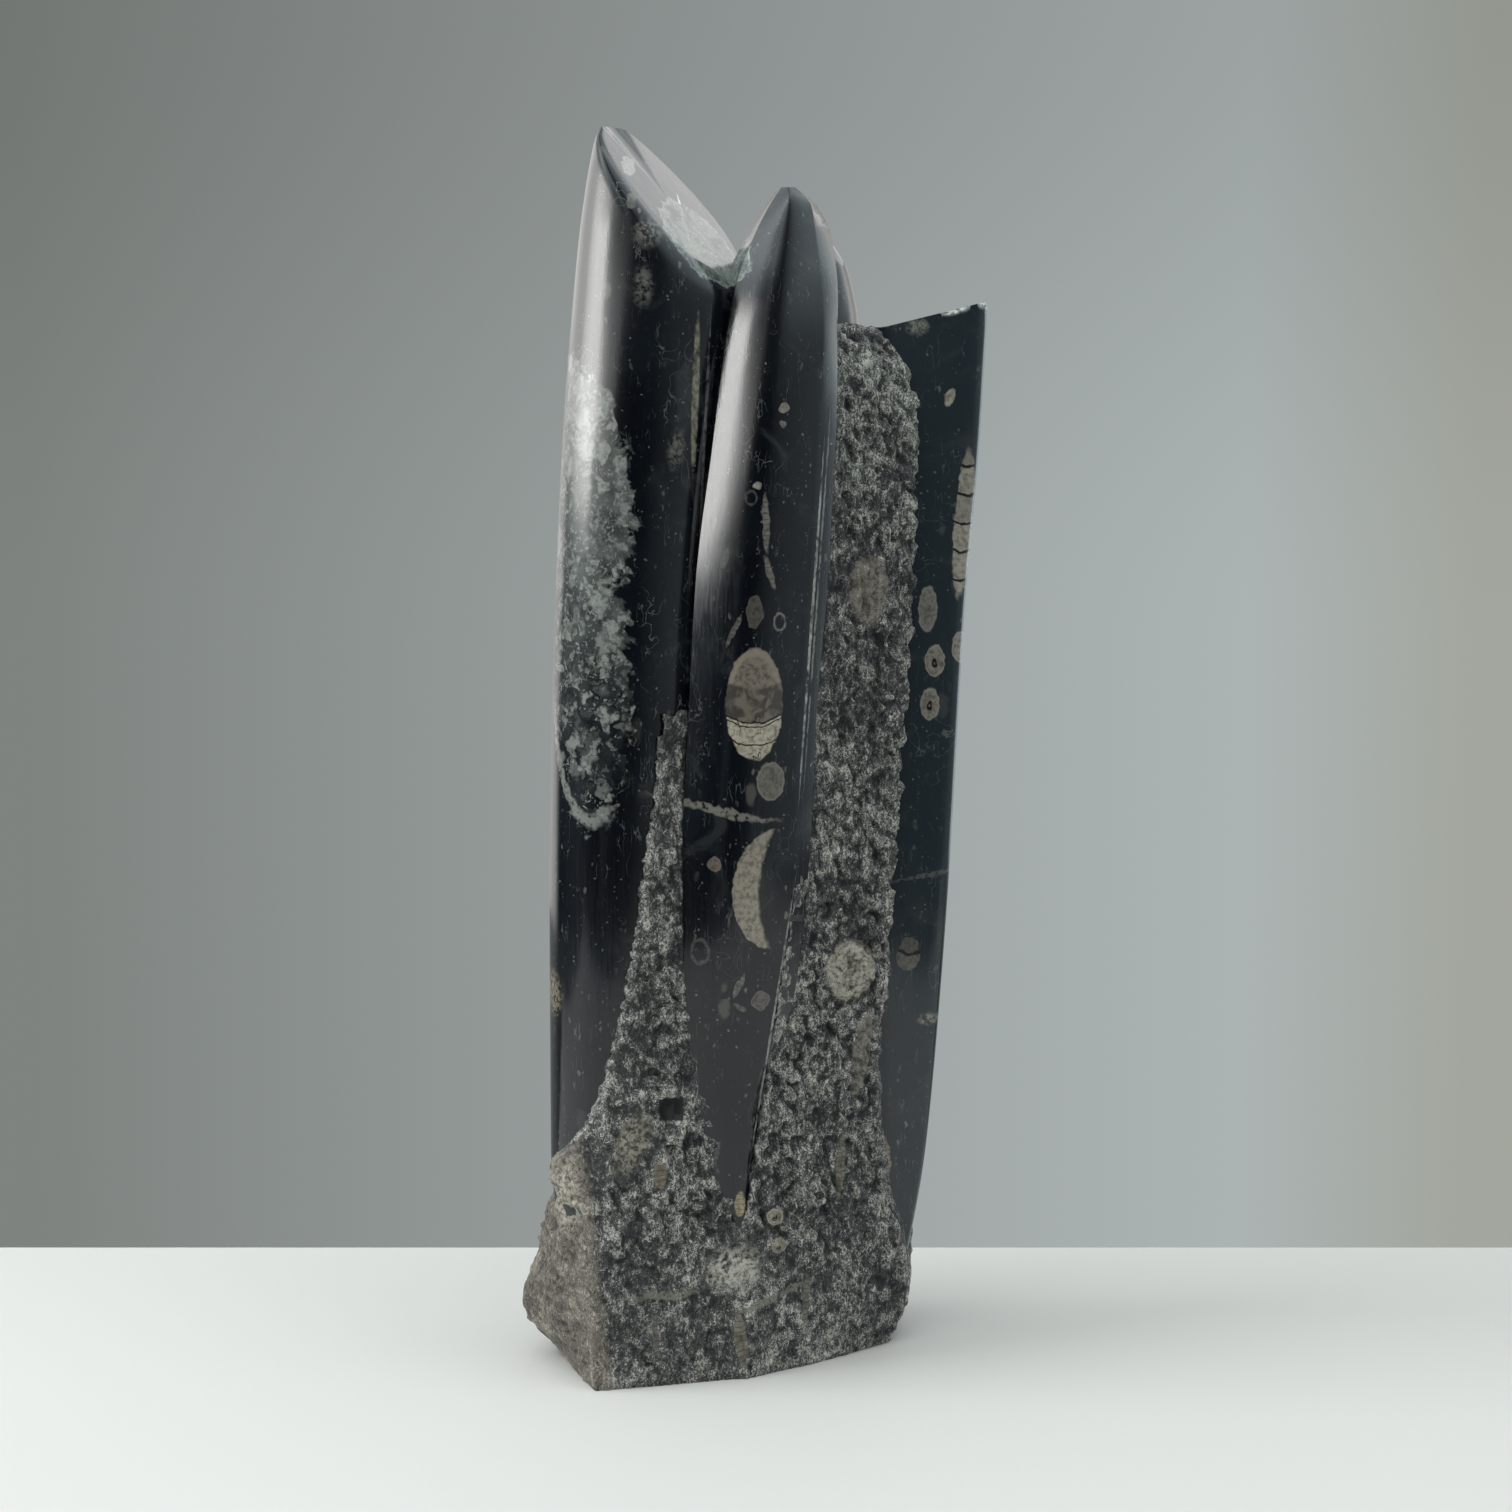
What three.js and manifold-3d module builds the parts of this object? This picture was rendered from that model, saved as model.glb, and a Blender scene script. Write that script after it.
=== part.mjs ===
// Orthoceras fossil tower: one piece of black fossil limestone, sawn flat underneath. Polished spires
// rise out of a rough, hand-pecked matrix, three along the front and two along the back.
//
// Millimetres, +Z up. The origin is under the middle of the stone, at the level it stands on.
// +X runs to the viewer's right and -Y faces the viewer who looks at the carved front.

import * as THREE from 'three';
import { mergeVertices } from 'three/addons/utils/BufferGeometryUtils.js';
import Module from 'manifold-3d';

// ---- driving dimensions ------------------------------------------------------------------------

const HEIGHT = 380; // the left spire's tip above the table
const AROUND = 26; // sides of a round spire's section
const LEVEL_GAP = 30; // the most that two levels of a spire are apart
const FRONT_STEPS = 10; // sides of the leaf spire's crowned front, and of its round back
const CROWN_FULLNESS = 0.85; // under 1, the leaf spire's crown is fuller near its two edges
const CORNER_STEPS = 5; // sides of the slab spire's rounded corners, and of its front
const LEFT_POWER = 2.15; // squareness of the left spire's section: 2 is an ellipse
const BACK_POWER = 2.2; // and of the back right spire's
const SHEAR = 0.25; // how fast the front recedes to the right: 14 degrees
const FRONT_EDGE = 3; // radius of the slab spire's front edges
const REAR_EDGE = 13; // and of its back edges
const FRONT_HOLLOW = 0.8; // how hollow its front is
const SLAB_TOP = 323; // its slanted end, at mid-width
const FLANK_DEPTH = 10; // how far the leaf spire's flanks run back behind its two edges

// Each row of a round spire or of the slab spire: height, left, right, front, back.
const LEFT_SPIRE = [
  [40, -60, -16, -39.5, 8],
  [70, -62.6, -15, -40.4, 10],
  [130, -62.5, -14, -41.5, 12],
  [200, -61.3, -12.5, -41.5, 12],
  [250, -59.4, -10, -40.5, 12],
  [300, -56.5, -6, -38.5, 11],
  [330, -53.8, -3, -36, 10],
  [346, -52.2, -3, -34, 9],
  [358, -50.6, -4, -31.5, 8],
  [368, -49, -8, -29, 7],
  [376, -47.3, -16, -25.5, 5],
  [HEIGHT, -45.5, -28, -20, 2],
];
const RIGHT_SPIRE = [
  [10, 20, 45.4, 3, 35],
  [60, 18, 54.4, 3.5, 39],
  [109, 17, 58.8, 4, 41],
  [157, 17, 62, 5, 42],
  [236, 19, 66.2, 7, 42.5],
  [283, 22, 70.2, 9, 42],
  [SLAB_TOP, 26, 72.6, 12, 41],
];
const BACK_RIGHT_SPIRE = [
  [40, 4, 26, 0, 36],
  [70, 2, 29, 0, 41],
  [110, 0, 32, 0, 43.5],
  [200, 0, 34.5, 0, 44.5],
  [280, 3, 34.5, 2, 43],
  [322, 8, 32.5, 8, 40],
  [340, 14, 28.7, 15, 36],
  [346, 18, 25, 21, 31],
];

// The left spire's slanted top is a plane through its tip, falling to the right and to the front.
const TIP = [-43.5, -8, HEIGHT];
const TOP_FALL = [1.12, -0.55]; // drop per millimetre to the right, and per millimetre to the back
const CUT_REACH = 60; // how far the cut reaches to each side of the tip

// Each row of the leaf spire in the middle of the front: height, the left edge's x and y, the right
// edge's x and y, the crown of the front between them, the left and right flanks' spread, the back.
const LEAF_SPIRE = [
  [30, -8, -29, -2, -27, 0, 3, 3, 20],
  [47, -5.5, -32.8, -3.3, -32.2, 0.2, 3, 4, 20],
  [65, -12.2, -35, -2.2, -32.4, 1, 3, 5, 20],
  [85, -16.4, -36, -0.5, -32, 2, 3, 5, 20],
  [110, -20, -37, 5.6, -31, 3.8, 4, 5, 20],
  [134, -21.2, -37, 9.5, -29.8, 5.2, 4, 5, 20],
  [165, -21.4, -36, 12, -28.5, 6.8, 4, 5, 20],
  [205, -19.6, -34, 13.9, -27, 8.2, 5, 5, 20],
  [245, -17.4, -32, 17.2, -25, 8.8, 5, 5, 20],
  [285, -12.4, -29.5, 19.4, -23, 9, 5, 5, 20],
  [318, -8.1, -25.5, 21, -20, 8.5, 4.5, 4, 16],
  [333, -5.2, -22.5, 20.5, -18, 7.5, 4, 4.6, 12],
  [348, 0.4, -17.5, 18.6, -15, 5, 2.5, 4.5, 6],
  [357, 5, -12.5, 16.8, -11.5, 3, 1.8, 2, 0],
  [361.8, 8, -9, 12.4, -9, 1, 0.6, 0.6, -4],
];

// The same, seen from behind: this leaf spire stands at the back left, with x and y measured backward.
const BACK_LEAF_SPIRE = [
  [34, 31, -32, 37, -33, 0.2, 3, 3, -6],
  [60, 26, -35, 41, -34, 1.2, 4, 4, -6],
  [100, 21, -36.5, 46, -33, 3.5, 4, 5, -6],
  [160, 17.5, -36, 49.5, -31, 6, 5, 6, -6],
  [220, 17, -34.5, 50, -29, 7.5, 5, 6, -6],
  [270, 19.5, -32, 48, -27, 7.5, 5, 5, -6],
  [305, 24, -28, 44.5, -25, 6, 4, 4, -8],
  [325, 29, -23.5, 41, -22, 3.6, 2.5, 2.5, -12],
  [334, 33, -19, 37.5, -19, 1, 0.8, 0.8, -15],
];

// The rough matrix, as plan outlines [x, y] at rising heights. Each outline has its corners in the
// same order: near corner, front, front bend, right, back right, back, back left, left, left bulge.
const FOOT = [
  { z: 0, plan: [[-48.6, -44.4], [-27, -39], [0, -31.5], [25, -13], [43, 3], [45, 24], [33, 38],
    [0, 39.5], [-38, 36], [-55, 17], [-60, -10], [-54, -30]] },
  { z: 12, plan: [[-48.6, -44.8], [-27, -39.4], [0, -32], [27, -14], [48.5, 4], [50, 26], [36, 41],
    [0, 41.5], [-42, 38], [-64, 18], [-71, -10], [-60, -31]] },
  { z: 20, plan: [[-48.8, -44.8], [-27, -39.4], [0, -32], [27, -14], [49.2, 4], [51, 26], [36, 41.5],
    [0, 41.5], [-42, 38.5], [-65, 18], [-72.6, -10], [-62, -31]] },
  { z: 37, plan: [[-49.5, -44.4], [-27, -39.4], [0, -32], [27, -14], [46, 0], [51.5, 26], [36, 41.5],
    [0, 41.2], [-42, 38.5], [-62, 18], [-67.5, -12], [-60.5, -31.5]] },
  { z: 55, plan: [[-51, -43.8], [-27, -40.2], [0, -31.4], [27, -14], [40, -4], [46, 26], [36, 40.5],
    [0, 40.8], [-40, 38], [-58, 16], [-62.6, -15], [-59.6, -33]] },
  { z: 68, plan: [[-54.5, -42.4], [-27, -40.4], [0, -30.8], [27, -14], [39, -5.2], [42, 26], [34, 39],
    [0, 40.5], [-40, 37], [-55, 14], [-62.4, -20], [-60.8, -33]] },
  { z: 83, plan: [[-49.5, -43], [-27, -40.3], [0, -30.4], [27, -14], [38, -6], [42, 24], [34, 38],
    [0, 40.5], [-40, 36], [-50, 12], [-56, -16], [-53, -30]] },
  { z: 108, plan: [[-41.2, -42.9], [-27, -39.6], [-4, -31.4], [24, -14], [34, -6], [40, 20], [34, 36],
    [0, 40.3], [-38, 36], [-44, 12], [-48, -16], [-43, -30]] },
  { z: 126, plan: [[-37.2, -42], [-27, -38.8], [-8, -32], [18, -14], [30, -4], [36, 20], [32, 36],
    [0, 40.2], [-38, 36], [-42, 12], [-44, -16], [-39, -30]] },
  { z: 159, plan: [[-32.7, -40.2], [-25, -37.6], [-12, -30], [10, -12], [24, 0], [30, 20], [30, 34],
    [0, 40], [-36, 35], [-38, 12], [-40, -14], [-34, -28]] },
  { z: 183, plan: [[-29.9, -38.4], [-24, -36.6], [-14, -28], [4, -12], [20, 0], [26, 20], [26, 34],
    [0, 39.8], [-34, 35], [-36, 12], [-36, -14], [-31, -26]] },
  { z: 206, plan: [[-27.2, -36.6], [-22.6, -35.2], [-15, -27], [0, -12], [16, 0], [22, 20], [22, 34],
    [0, 39.5], [-32, 34], [-32, 12], [-32, -14], [-28, -24]] },
];

// The ridge right of the leaf spire. Corners: inside the leaf spire, front, front right, rim, behind
// the rim, inside the right spire. RIDGE_BACK closes every level inside the core.
const RIDGE_BACK = [[28, 26], [6, 20], [0, 0]];
const RIDGE = [
  { z: 8, plan: [[4, -26], [26, -12], [38, -3], [44, 2], [43, 10], [38, 20]] },
  { z: 45, plan: [[4, -28.5], [27, -14], [36, -7.5], [41.2, -3.5], [39, 8], [38, 20]] },
  { z: 92, plan: [[4, -28.5], [27, -14], [34, -9], [39, -5], [37, 8], [37, 20]] },
  { z: 143, plan: [[4, -28.5], [27, -14], [36, -7.5], [43.2, -2], [40, 9], [38, 20]] },
  { z: 206, plan: [[4, -28.5], [27, -13.6], [38, -5.5], [47.6, 1.5], [44, 11], [40, 22]] },
  { z: 270, plan: [[5, -27.5], [28, -12.5], [40, -4], [50.2, 3.6], [47, 13], [42, 24]] },
  { z: 296, plan: [[6, -26.5], [28, -11.5], [40, -3], [50.4, 4.6], [47, 14], [42, 24]] },
  { z: 309, plan: [[8, -24], [28, -9], [38, -1], [46.3, 6.5], [44, 14], [40, 22]] },
  { z: 316, plan: [[10, -20], [27, -6], [35, 1], [41, 8], [39, 15], [36, 21]] },
  { z: 321, plan: [[14, -13], [26, -1], [31, 4], [34, 9], [33, 14], [31, 18]] },
].map(({ z, plan }) => ({ z, plan: [...plan, ...RIDGE_BACK] }));

// The core behind the front spires. Corners: front left, front right, right, back right, back, back
// left, left.
const CORE = [
  { z: 10, plan: [[-44, -10], [30, -4], [42, 12], [34, 38], [0, 40.5], [-38, 37], [-52, 12]] },
  { z: 110, plan: [[-44, -10], [30, -4], [42, 12], [40, 38.5], [0, 40.3], [-44, 37.5], [-52, 12]] },
  { z: 215, plan: [[-42, -8], [30, -4], [42, 14], [42, 38.5], [-2, 39.6], [-44, 36.5], [-50, 12]] },
  { z: 262, plan: [[-38, -6], [30, -2], [42, 16], [42, 37.5], [-5, 38], [-40, 34], [-44, 12]] },
  { z: 286, plan: [[-32, -4], [28, 0], [40, 18], [40, 36], [0, 35.5], [-32, 31], [-36, 12]] },
  { z: 300, plan: [[-24, -2], [26, 2], [36, 20], [37, 32.5], [6, 31], [-24, 25], [-26, 12]] },
  { z: 308, plan: [[-12, 2], [20, 6], [28, 18], [29, 24], [10, 23], [-12, 18], [-14, 11]] },
];

// ---- curves through the rows -------------------------------------------------------------------

// One row of the table at height z: a smooth curve through every column, which stops swinging
// wherever a column turns back.
function rowAt(rows, z) {
  const last = rows.length - 1;
  let i = 0;
  while (i < last - 1 && z > rows[i + 1][0]) i += 1;
  const [low, high] = [rows[i], rows[i + 1]];
  const step = high[0] - low[0];
  const t = (z - low[0]) / step;
  return low.map((value, column) => {
    const rise = (high[column] - value) / step;
    const before = i > 0 ? (value - rows[i - 1][column]) / (low[0] - rows[i - 1][0]) : rise;
    const after = i + 2 <= last ? (rows[i + 2][column] - high[column]) / (rows[i + 2][0] - high[0]) : rise;
    const [enter, leave] = [flatten(before, rise), flatten(rise, after)];
    const [t2, t3] = [t * t, t * t * t];
    return value * (2 * t3 - 3 * t2 + 1) + high[column] * (3 * t2 - 2 * t3)
      + step * (enter * (t3 - 2 * t2 + t) + leave * (t3 - t2));
  });
}

// The slope where two stretches meet: their harmonic mean, or level where they turn.
function flatten(a, b) {
  return a * b > 0 ? (2 * a * b) / (a + b) : 0;
}

// Heights for a loft: every row, and one more halfway wherever two rows are far apart.
function heightsOf(rows) {
  const heights = [rows[0][0]];
  for (const [z] of rows.slice(1)) {
    const below = heights[heights.length - 1];
    if (z - below > LEVEL_GAP) heights.push((below + z) / 2);
    heights.push(z);
  }
  return heights;
}

// ---- sections ----------------------------------------------------------------------------------

// A rounded section between left, right, front and back. A power of 2 is an ellipse, and a higher one
// is squarer. The shear carries the section's right side backward.
function roundSection([z, left, right, front, back], power, shear) {
  const [cx, cy] = [(left + right) / 2, (front + back) / 2];
  const [a, b] = [(right - left) / 2, (back - front) / 2];
  const bow = (v) => Math.sign(v) * Math.abs(v) ** (2 / power);
  return Array.from({ length: AROUND }, (_, i) => {
    const angle = (i / AROUND) * 2 * Math.PI;
    const x = a * bow(Math.cos(angle));
    const y = b * bow(Math.sin(angle));
    return [cx + x, cy + y + shear * x, z];
  });
}

// The slab spire's section: a faintly hollow front, two tight front edges and a broad round back. The
// slanted end lifts the section's right side.
function slabSection([z, left, right, front, back]) {
  const corners = [
    [right - FRONT_EDGE, front + FRONT_EDGE, FRONT_EDGE, -90],
    [right - REAR_EDGE, back - REAR_EDGE, REAR_EDGE, 0],
    [left + REAR_EDGE, back - REAR_EDGE, REAR_EDGE, 90],
    [left + FRONT_EDGE, front + FRONT_EDGE, FRONT_EDGE, 180],
  ];
  const ring = corners.flatMap(([x, y, radius, from]) => Array.from({ length: CORNER_STEPS + 1 }, (_, i) => {
    const angle = THREE.MathUtils.degToRad(from + (i * 90) / CORNER_STEPS);
    return [x + radius * Math.cos(angle), y + radius * Math.sin(angle)];
  }));
  for (let i = 1; i < CORNER_STEPS; i += 1) {
    const t = i / CORNER_STEPS;
    const x = left + FRONT_EDGE + (right - left - 2 * FRONT_EDGE) * t;
    ring.push([x, front + FRONT_HOLLOW * Math.sin(Math.PI * t)]);
  }
  const [cx, cy] = [(left + right) / 2, (front + back) / 2];
  const end = z === SLAB_TOP ? SHEAR : 0;
  return ring.map(([x, y]) => [x, y + SHEAR * (x - cx), z + end * (x - cx)]);
}

// The leaf spire's section: a crowned front between two sharp edges, flanks that spread as they run
// back, and a half-round back.
function leafSection([z, leftX, leftY, rightX, rightY, crown, leftFlank, rightFlank, back]) {
  const ring = [];
  for (let i = 0; i <= FRONT_STEPS; i += 1) {
    const t = i / FRONT_STEPS;
    const bulge = crown * Math.sin(Math.PI * t) ** CROWN_FULLNESS;
    ring.push([leftX + (rightX - leftX) * t, leftY + (rightY - leftY) * t - bulge, z]);
  }
  const [flankRight, flankLeft] = [rightX + rightFlank, leftX - leftFlank];
  const shoulder = Math.min((leftY + rightY) / 2 + FLANK_DEPTH, back - 1);
  const [cx, half] = [(flankRight + flankLeft) / 2, (flankRight - flankLeft) / 2];
  for (let i = 0; i <= FRONT_STEPS; i += 1) {
    const angle = (i / FRONT_STEPS) * Math.PI;
    ring.push([cx + half * Math.cos(angle), shoulder + (back - shoulder) * Math.sin(angle), z]);
  }
  return ring;
}

// ---- solids ------------------------------------------------------------------------------------

// A closed surface through rings that all have the same number of points, counter-clockwise from above.
function loft(rings) {
  const count = rings[0].length;
  const points = rings.flat();
  const faces = [];
  for (let level = 0; level < rings.length - 1; level += 1) {
    for (let i = 0; i < count; i += 1) {
      const [a, b] = [level * count + i, level * count + ((i + 1) % count)];
      faces.push(a, b, b + count, a, b + count, a + count);
    }
  }
  for (const [start, up] of [[0, false], [(rings.length - 1) * count, true]]) {
    const ring = points.slice(start, start + count);
    const centre = [0, 1, 2].map((axis) => ring.reduce((sum, p) => sum + p[axis], 0) / count);
    const hub = points.push(centre) - 1;
    for (let i = 0; i < count; i += 1) {
      const [a, b] = [start + i, start + ((i + 1) % count)];
      faces.push(...(up ? [hub, a, b] : [hub, b, a]));
    }
  }
  const geometry = new THREE.BufferGeometry();
  geometry.setAttribute('position', new THREE.Float32BufferAttribute(points.flat(), 3));
  geometry.setIndex(faces);
  return geometry;
}

function roundSpire(rows, power, shear = 0) {
  return loft(heightsOf(rows).map((z) => roundSection(rowAt(rows, z), power, shear)));
}

function slabSpire(rows) {
  return loft(heightsOf(rows).map((z) => slabSection(rowAt(rows, z))));
}

function leafSpire(rows) {
  return loft(heightsOf(rows).map((z) => leafSection(rowAt(rows, z))));
}

// What is sawn off the left spire's top: a block standing on the slanted plane.
function topWaste() {
  const [tipX, tipY, tipZ] = TIP;
  const corners = [[-1, -1], [1, -1], [1, 1], [-1, 1]].map(([sx, sy]) => [sx * CUT_REACH, sy * CUT_REACH]);
  const slanted = corners.map(([x, y]) => [tipX + x, tipY + y, tipZ - TOP_FALL[0] * x - TOP_FALL[1] * y]);
  const above = slanted.map(([x, y]) => [x, y, tipZ + 3 * CUT_REACH]);
  return loft([slanted, above]);
}

function matrixBlock(levels) {
  return loft(levels.map(({ z, plan }) => plan.map(([x, y]) => [x, y, z])));
}

// ---- joining the stone -------------------------------------------------------------------------

const wasm = await Module();
wasm.setup();

function toSolid(geometry) {
  const merged = mergeVertices(geometry, 1e-5);
  return new wasm.Manifold(new wasm.Mesh({
    numProp: 3,
    vertProperties: merged.attributes.position.array,
    triVerts: Uint32Array.from(merged.index.array),
  }));
}

function toGeometry(solid) {
  const { vertProperties, triVerts } = solid.getMesh();
  const geometry = new THREE.BufferGeometry();
  geometry.setAttribute('position', new THREE.BufferAttribute(vertProperties, 3));
  geometry.setIndex(new THREE.BufferAttribute(triVerts, 1));
  geometry.computeVertexNormals();
  return geometry;
}

const leftSpire = toSolid(roundSpire(LEFT_SPIRE, LEFT_POWER, SHEAR)).subtract(toSolid(topWaste()));
const others = [
  matrixBlock(FOOT),
  matrixBlock(RIDGE),
  matrixBlock(CORE),
  leafSpire(LEAF_SPIRE),
  slabSpire(RIGHT_SPIRE),
  roundSpire(BACK_RIGHT_SPIRE, BACK_POWER),
  leafSpire(BACK_LEAF_SPIRE).rotateZ(Math.PI),
];
const stone = others.map(toSolid).reduce((whole, piece) => whole.add(piece), leftSpire);

const blackLimestone = new THREE.MeshStandardMaterial({ color: 0x1d2023, roughness: 0.35, metalness: 0 });
const fossilStone = new THREE.Mesh(toGeometry(stone), blackLimestone);
fossilStone.name = 'fossil_stone';

const tower = new THREE.Group();
tower.add(fossilStone);

export default tower;
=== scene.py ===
import math

import bmesh
import bpy
import numpy as np
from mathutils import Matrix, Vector, noise
from mathutils.bvhtree import BVHTree


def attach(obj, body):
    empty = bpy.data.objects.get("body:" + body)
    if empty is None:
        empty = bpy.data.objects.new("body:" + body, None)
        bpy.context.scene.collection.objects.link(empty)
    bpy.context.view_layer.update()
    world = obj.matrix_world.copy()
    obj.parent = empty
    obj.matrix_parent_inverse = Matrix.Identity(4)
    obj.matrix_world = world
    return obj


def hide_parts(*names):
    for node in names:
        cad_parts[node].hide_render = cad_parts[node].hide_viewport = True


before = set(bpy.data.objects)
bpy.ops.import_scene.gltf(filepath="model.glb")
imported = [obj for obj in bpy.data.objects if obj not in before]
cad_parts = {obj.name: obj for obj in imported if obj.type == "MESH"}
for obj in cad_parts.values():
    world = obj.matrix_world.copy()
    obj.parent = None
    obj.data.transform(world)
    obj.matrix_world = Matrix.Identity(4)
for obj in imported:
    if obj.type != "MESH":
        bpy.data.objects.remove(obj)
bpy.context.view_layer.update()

MM = 0.001
scene = bpy.context.scene

# ---- the stone's tables, in millimetres, as in the solid model ----------------------------------

SHEAR = 0.25  # how fast the front recedes to the right
LEFT_POWER = 2.15  # squareness of the left spire's section
BACK_POWER = 2.2  # and of the back right spire's
CROWN_SHARE = 0.86  # the finished crown's height against the solid model's, which is fuller
FRONT_EDGE = 3.0  # radius of the right slab's front edges
REAR_EDGE = 13.0  # and of its back edges
FRONT_HOLLOW = 0.8  # how hollow its front is
SLAB_TOP = 323.0  # its slanted end, at mid-width
FLANK_DEPTH = 10.0  # how far the leaf's flanks run back behind its two edges
TIP = (-43.5, -8.0, 380.0)  # a point of the left spire's slanted top
TOP_FALL = (1.12, -0.55)  # and how fast that falls along x and y
RIM_ROUND = (1.0, 6.5)  # radius of the slanted top's rim at the back and, more, at the front
HALVINGS = 20  # of the height, to find where the left spire's side meets its slanted top

# height, left, right, front, back
LEFT_SPIRE = [
    [40, -60, -16, -39.5, 8],
    [70, -62.6, -15, -40.4, 10],
    [130, -62.5, -14, -41.5, 12],
    [200, -61.3, -12.5, -41.5, 12],
    [250, -59.4, -10, -40.5, 12],
    [300, -56.5, -6, -38.5, 11],
    [330, -53.8, -3, -36, 10],
    [346, -52.2, -3, -34, 9],
    [358, -50.6, -4, -31.5, 8],
    [368, -49, -8, -29, 7],
    [376, -47.3, -16, -25.5, 5],
    [380, -45.5, -28, -20, 2],
]
RIGHT_SPIRE = [
    [10, 20, 45.4, 3, 35],
    [60, 18, 54.4, 3.5, 39],
    [109, 17, 58.8, 4, 41],
    [157, 17, 62, 5, 42],
    [236, 19, 66.2, 7, 42.5],
    [283, 22, 70.2, 9, 42],
    [SLAB_TOP, 26, 72.6, 12, 41],
]
BACK_RIGHT_SPIRE = [
    [40, 4, 26, 0, 36],
    [70, 2, 29, 0, 41],
    [110, 0, 32, 0, 43.5],
    [200, 0, 34.5, 0, 44.5],
    [280, 3, 34.5, 2, 43],
    [322, 8, 32.5, 8, 40],
    [340, 14, 28.7, 15, 36],
    [346, 18, 25, 21, 31],
]
# height, left edge x and y, right edge x and y, crown, left and right flanks' spread, back
LEAF_SPIRE = [
    [30, -8, -29, -2, -27, 0, 3, 3, 20],
    [47, -5.5, -32.8, -3.3, -32.2, 0.2, 3, 4, 20],
    [65, -12.2, -35, -2.2, -32.4, 1, 3, 5, 20],
    [85, -16.4, -36, -0.5, -32, 2, 3, 5, 20],
    [110, -20, -37, 5.6, -31, 3.8, 4, 5, 20],
    [134, -21.2, -37, 9.5, -29.8, 5.2, 4, 5, 20],
    [165, -21.4, -36, 12, -28.5, 6.8, 4, 5, 20],
    [205, -19.6, -34, 13.9, -27, 8.2, 5, 5, 20],
    [245, -17.4, -32, 17.2, -25, 8.8, 5, 5, 20],
    [285, -12.4, -29.5, 19.4, -23, 9, 5, 5, 20],
    [318, -8.1, -25.5, 21, -20, 8.5, 4.5, 4, 16],
    [333, -5.2, -22.5, 20.5, -18, 7.5, 4, 4.6, 12],
    [348, 0.4, -17.5, 18.6, -15, 5, 2.5, 4.5, 6],
    [357, 5, -12.5, 16.8, -11.5, 3, 1.8, 2, 0],
    [361.8, 8, -9, 12.4, -9, 1, 0.6, 0.6, -4],
]
BACK_LEAF_SPIRE = [
    [34, 31, -32, 37, -33, 0.2, 3, 3, -6],
    [60, 26, -35, 41, -34, 1.2, 4, 4, -6],
    [100, 21, -36.5, 46, -33, 3.5, 4, 5, -6],
    [160, 17.5, -36, 49.5, -31, 6, 5, 6, -6],
    [220, 17, -34.5, 50, -29, 7.5, 5, 6, -6],
    [270, 19.5, -32, 48, -27, 7.5, 5, 5, -6],
    [305, 24, -28, 44.5, -25, 6, 4, 4, -8],
    [325, 29, -23.5, 41, -22, 3.6, 2.5, 2.5, -12],
    [334, 33, -19, 37.5, -19, 1, 0.8, 0.8, -15],
]
# plan outlines at rising heights
FOOT = [
    (0, [(-48.6, -44.4), (-27, -39), (0, -31.5), (25, -13), (43, 3), (45, 24), (33, 38),
         (0, 39.5), (-38, 36), (-55, 17), (-60, -10), (-54, -30)]),
    (12, [(-48.6, -44.8), (-27, -39.4), (0, -32), (27, -14), (48.5, 4), (50, 26), (36, 41),
          (0, 41.5), (-42, 38), (-64, 18), (-71, -10), (-60, -31)]),
    (20, [(-48.8, -44.8), (-27, -39.4), (0, -32), (27, -14), (49.2, 4), (51, 26), (36, 41.5),
          (0, 41.5), (-42, 38.5), (-65, 18), (-72.6, -10), (-62, -31)]),
    (37, [(-49.5, -44.4), (-27, -39.4), (0, -32), (27, -14), (46, 0), (51.5, 26), (36, 41.5),
          (0, 41.2), (-42, 38.5), (-62, 18), (-67.5, -12), (-60.5, -31.5)]),
    (55, [(-51, -43.8), (-27, -40.2), (0, -31.4), (27, -14), (40, -4), (46, 26), (36, 40.5),
          (0, 40.8), (-40, 38), (-58, 16), (-62.6, -15), (-59.6, -33)]),
    (68, [(-54.5, -42.4), (-27, -40.4), (0, -30.8), (27, -14), (39, -5.2), (42, 26), (34, 39),
          (0, 40.5), (-40, 37), (-55, 14), (-62.4, -20), (-60.8, -33)]),
    (83, [(-49.5, -43), (-27, -40.3), (0, -30.4), (27, -14), (38, -6), (42, 24), (34, 38),
          (0, 40.5), (-40, 36), (-50, 12), (-56, -16), (-53, -30)]),
    (108, [(-41.2, -42.9), (-27, -39.6), (-4, -31.4), (24, -14), (34, -6), (40, 20), (34, 36),
           (0, 40.3), (-38, 36), (-44, 12), (-48, -16), (-43, -30)]),
    (126, [(-37.2, -42), (-27, -38.8), (-8, -32), (18, -14), (30, -4), (36, 20), (32, 36),
           (0, 40.2), (-38, 36), (-42, 12), (-44, -16), (-39, -30)]),
    (159, [(-32.7, -40.2), (-25, -37.6), (-12, -30), (10, -12), (24, 0), (30, 20), (30, 34),
           (0, 40), (-36, 35), (-38, 12), (-40, -14), (-34, -28)]),
    (183, [(-29.9, -38.4), (-24, -36.6), (-14, -28), (4, -12), (20, 0), (26, 20), (26, 34),
           (0, 39.8), (-34, 35), (-36, 12), (-36, -14), (-31, -26)]),
    (206, [(-27.2, -36.6), (-22.6, -35.2), (-15, -27), (0, -12), (16, 0), (22, 20), (22, 34),
           (0, 39.5), (-32, 34), (-32, 12), (-32, -14), (-28, -24)]),
]
RIDGE_BACK = [(28, 26), (6, 20), (0, 0)]
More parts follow.
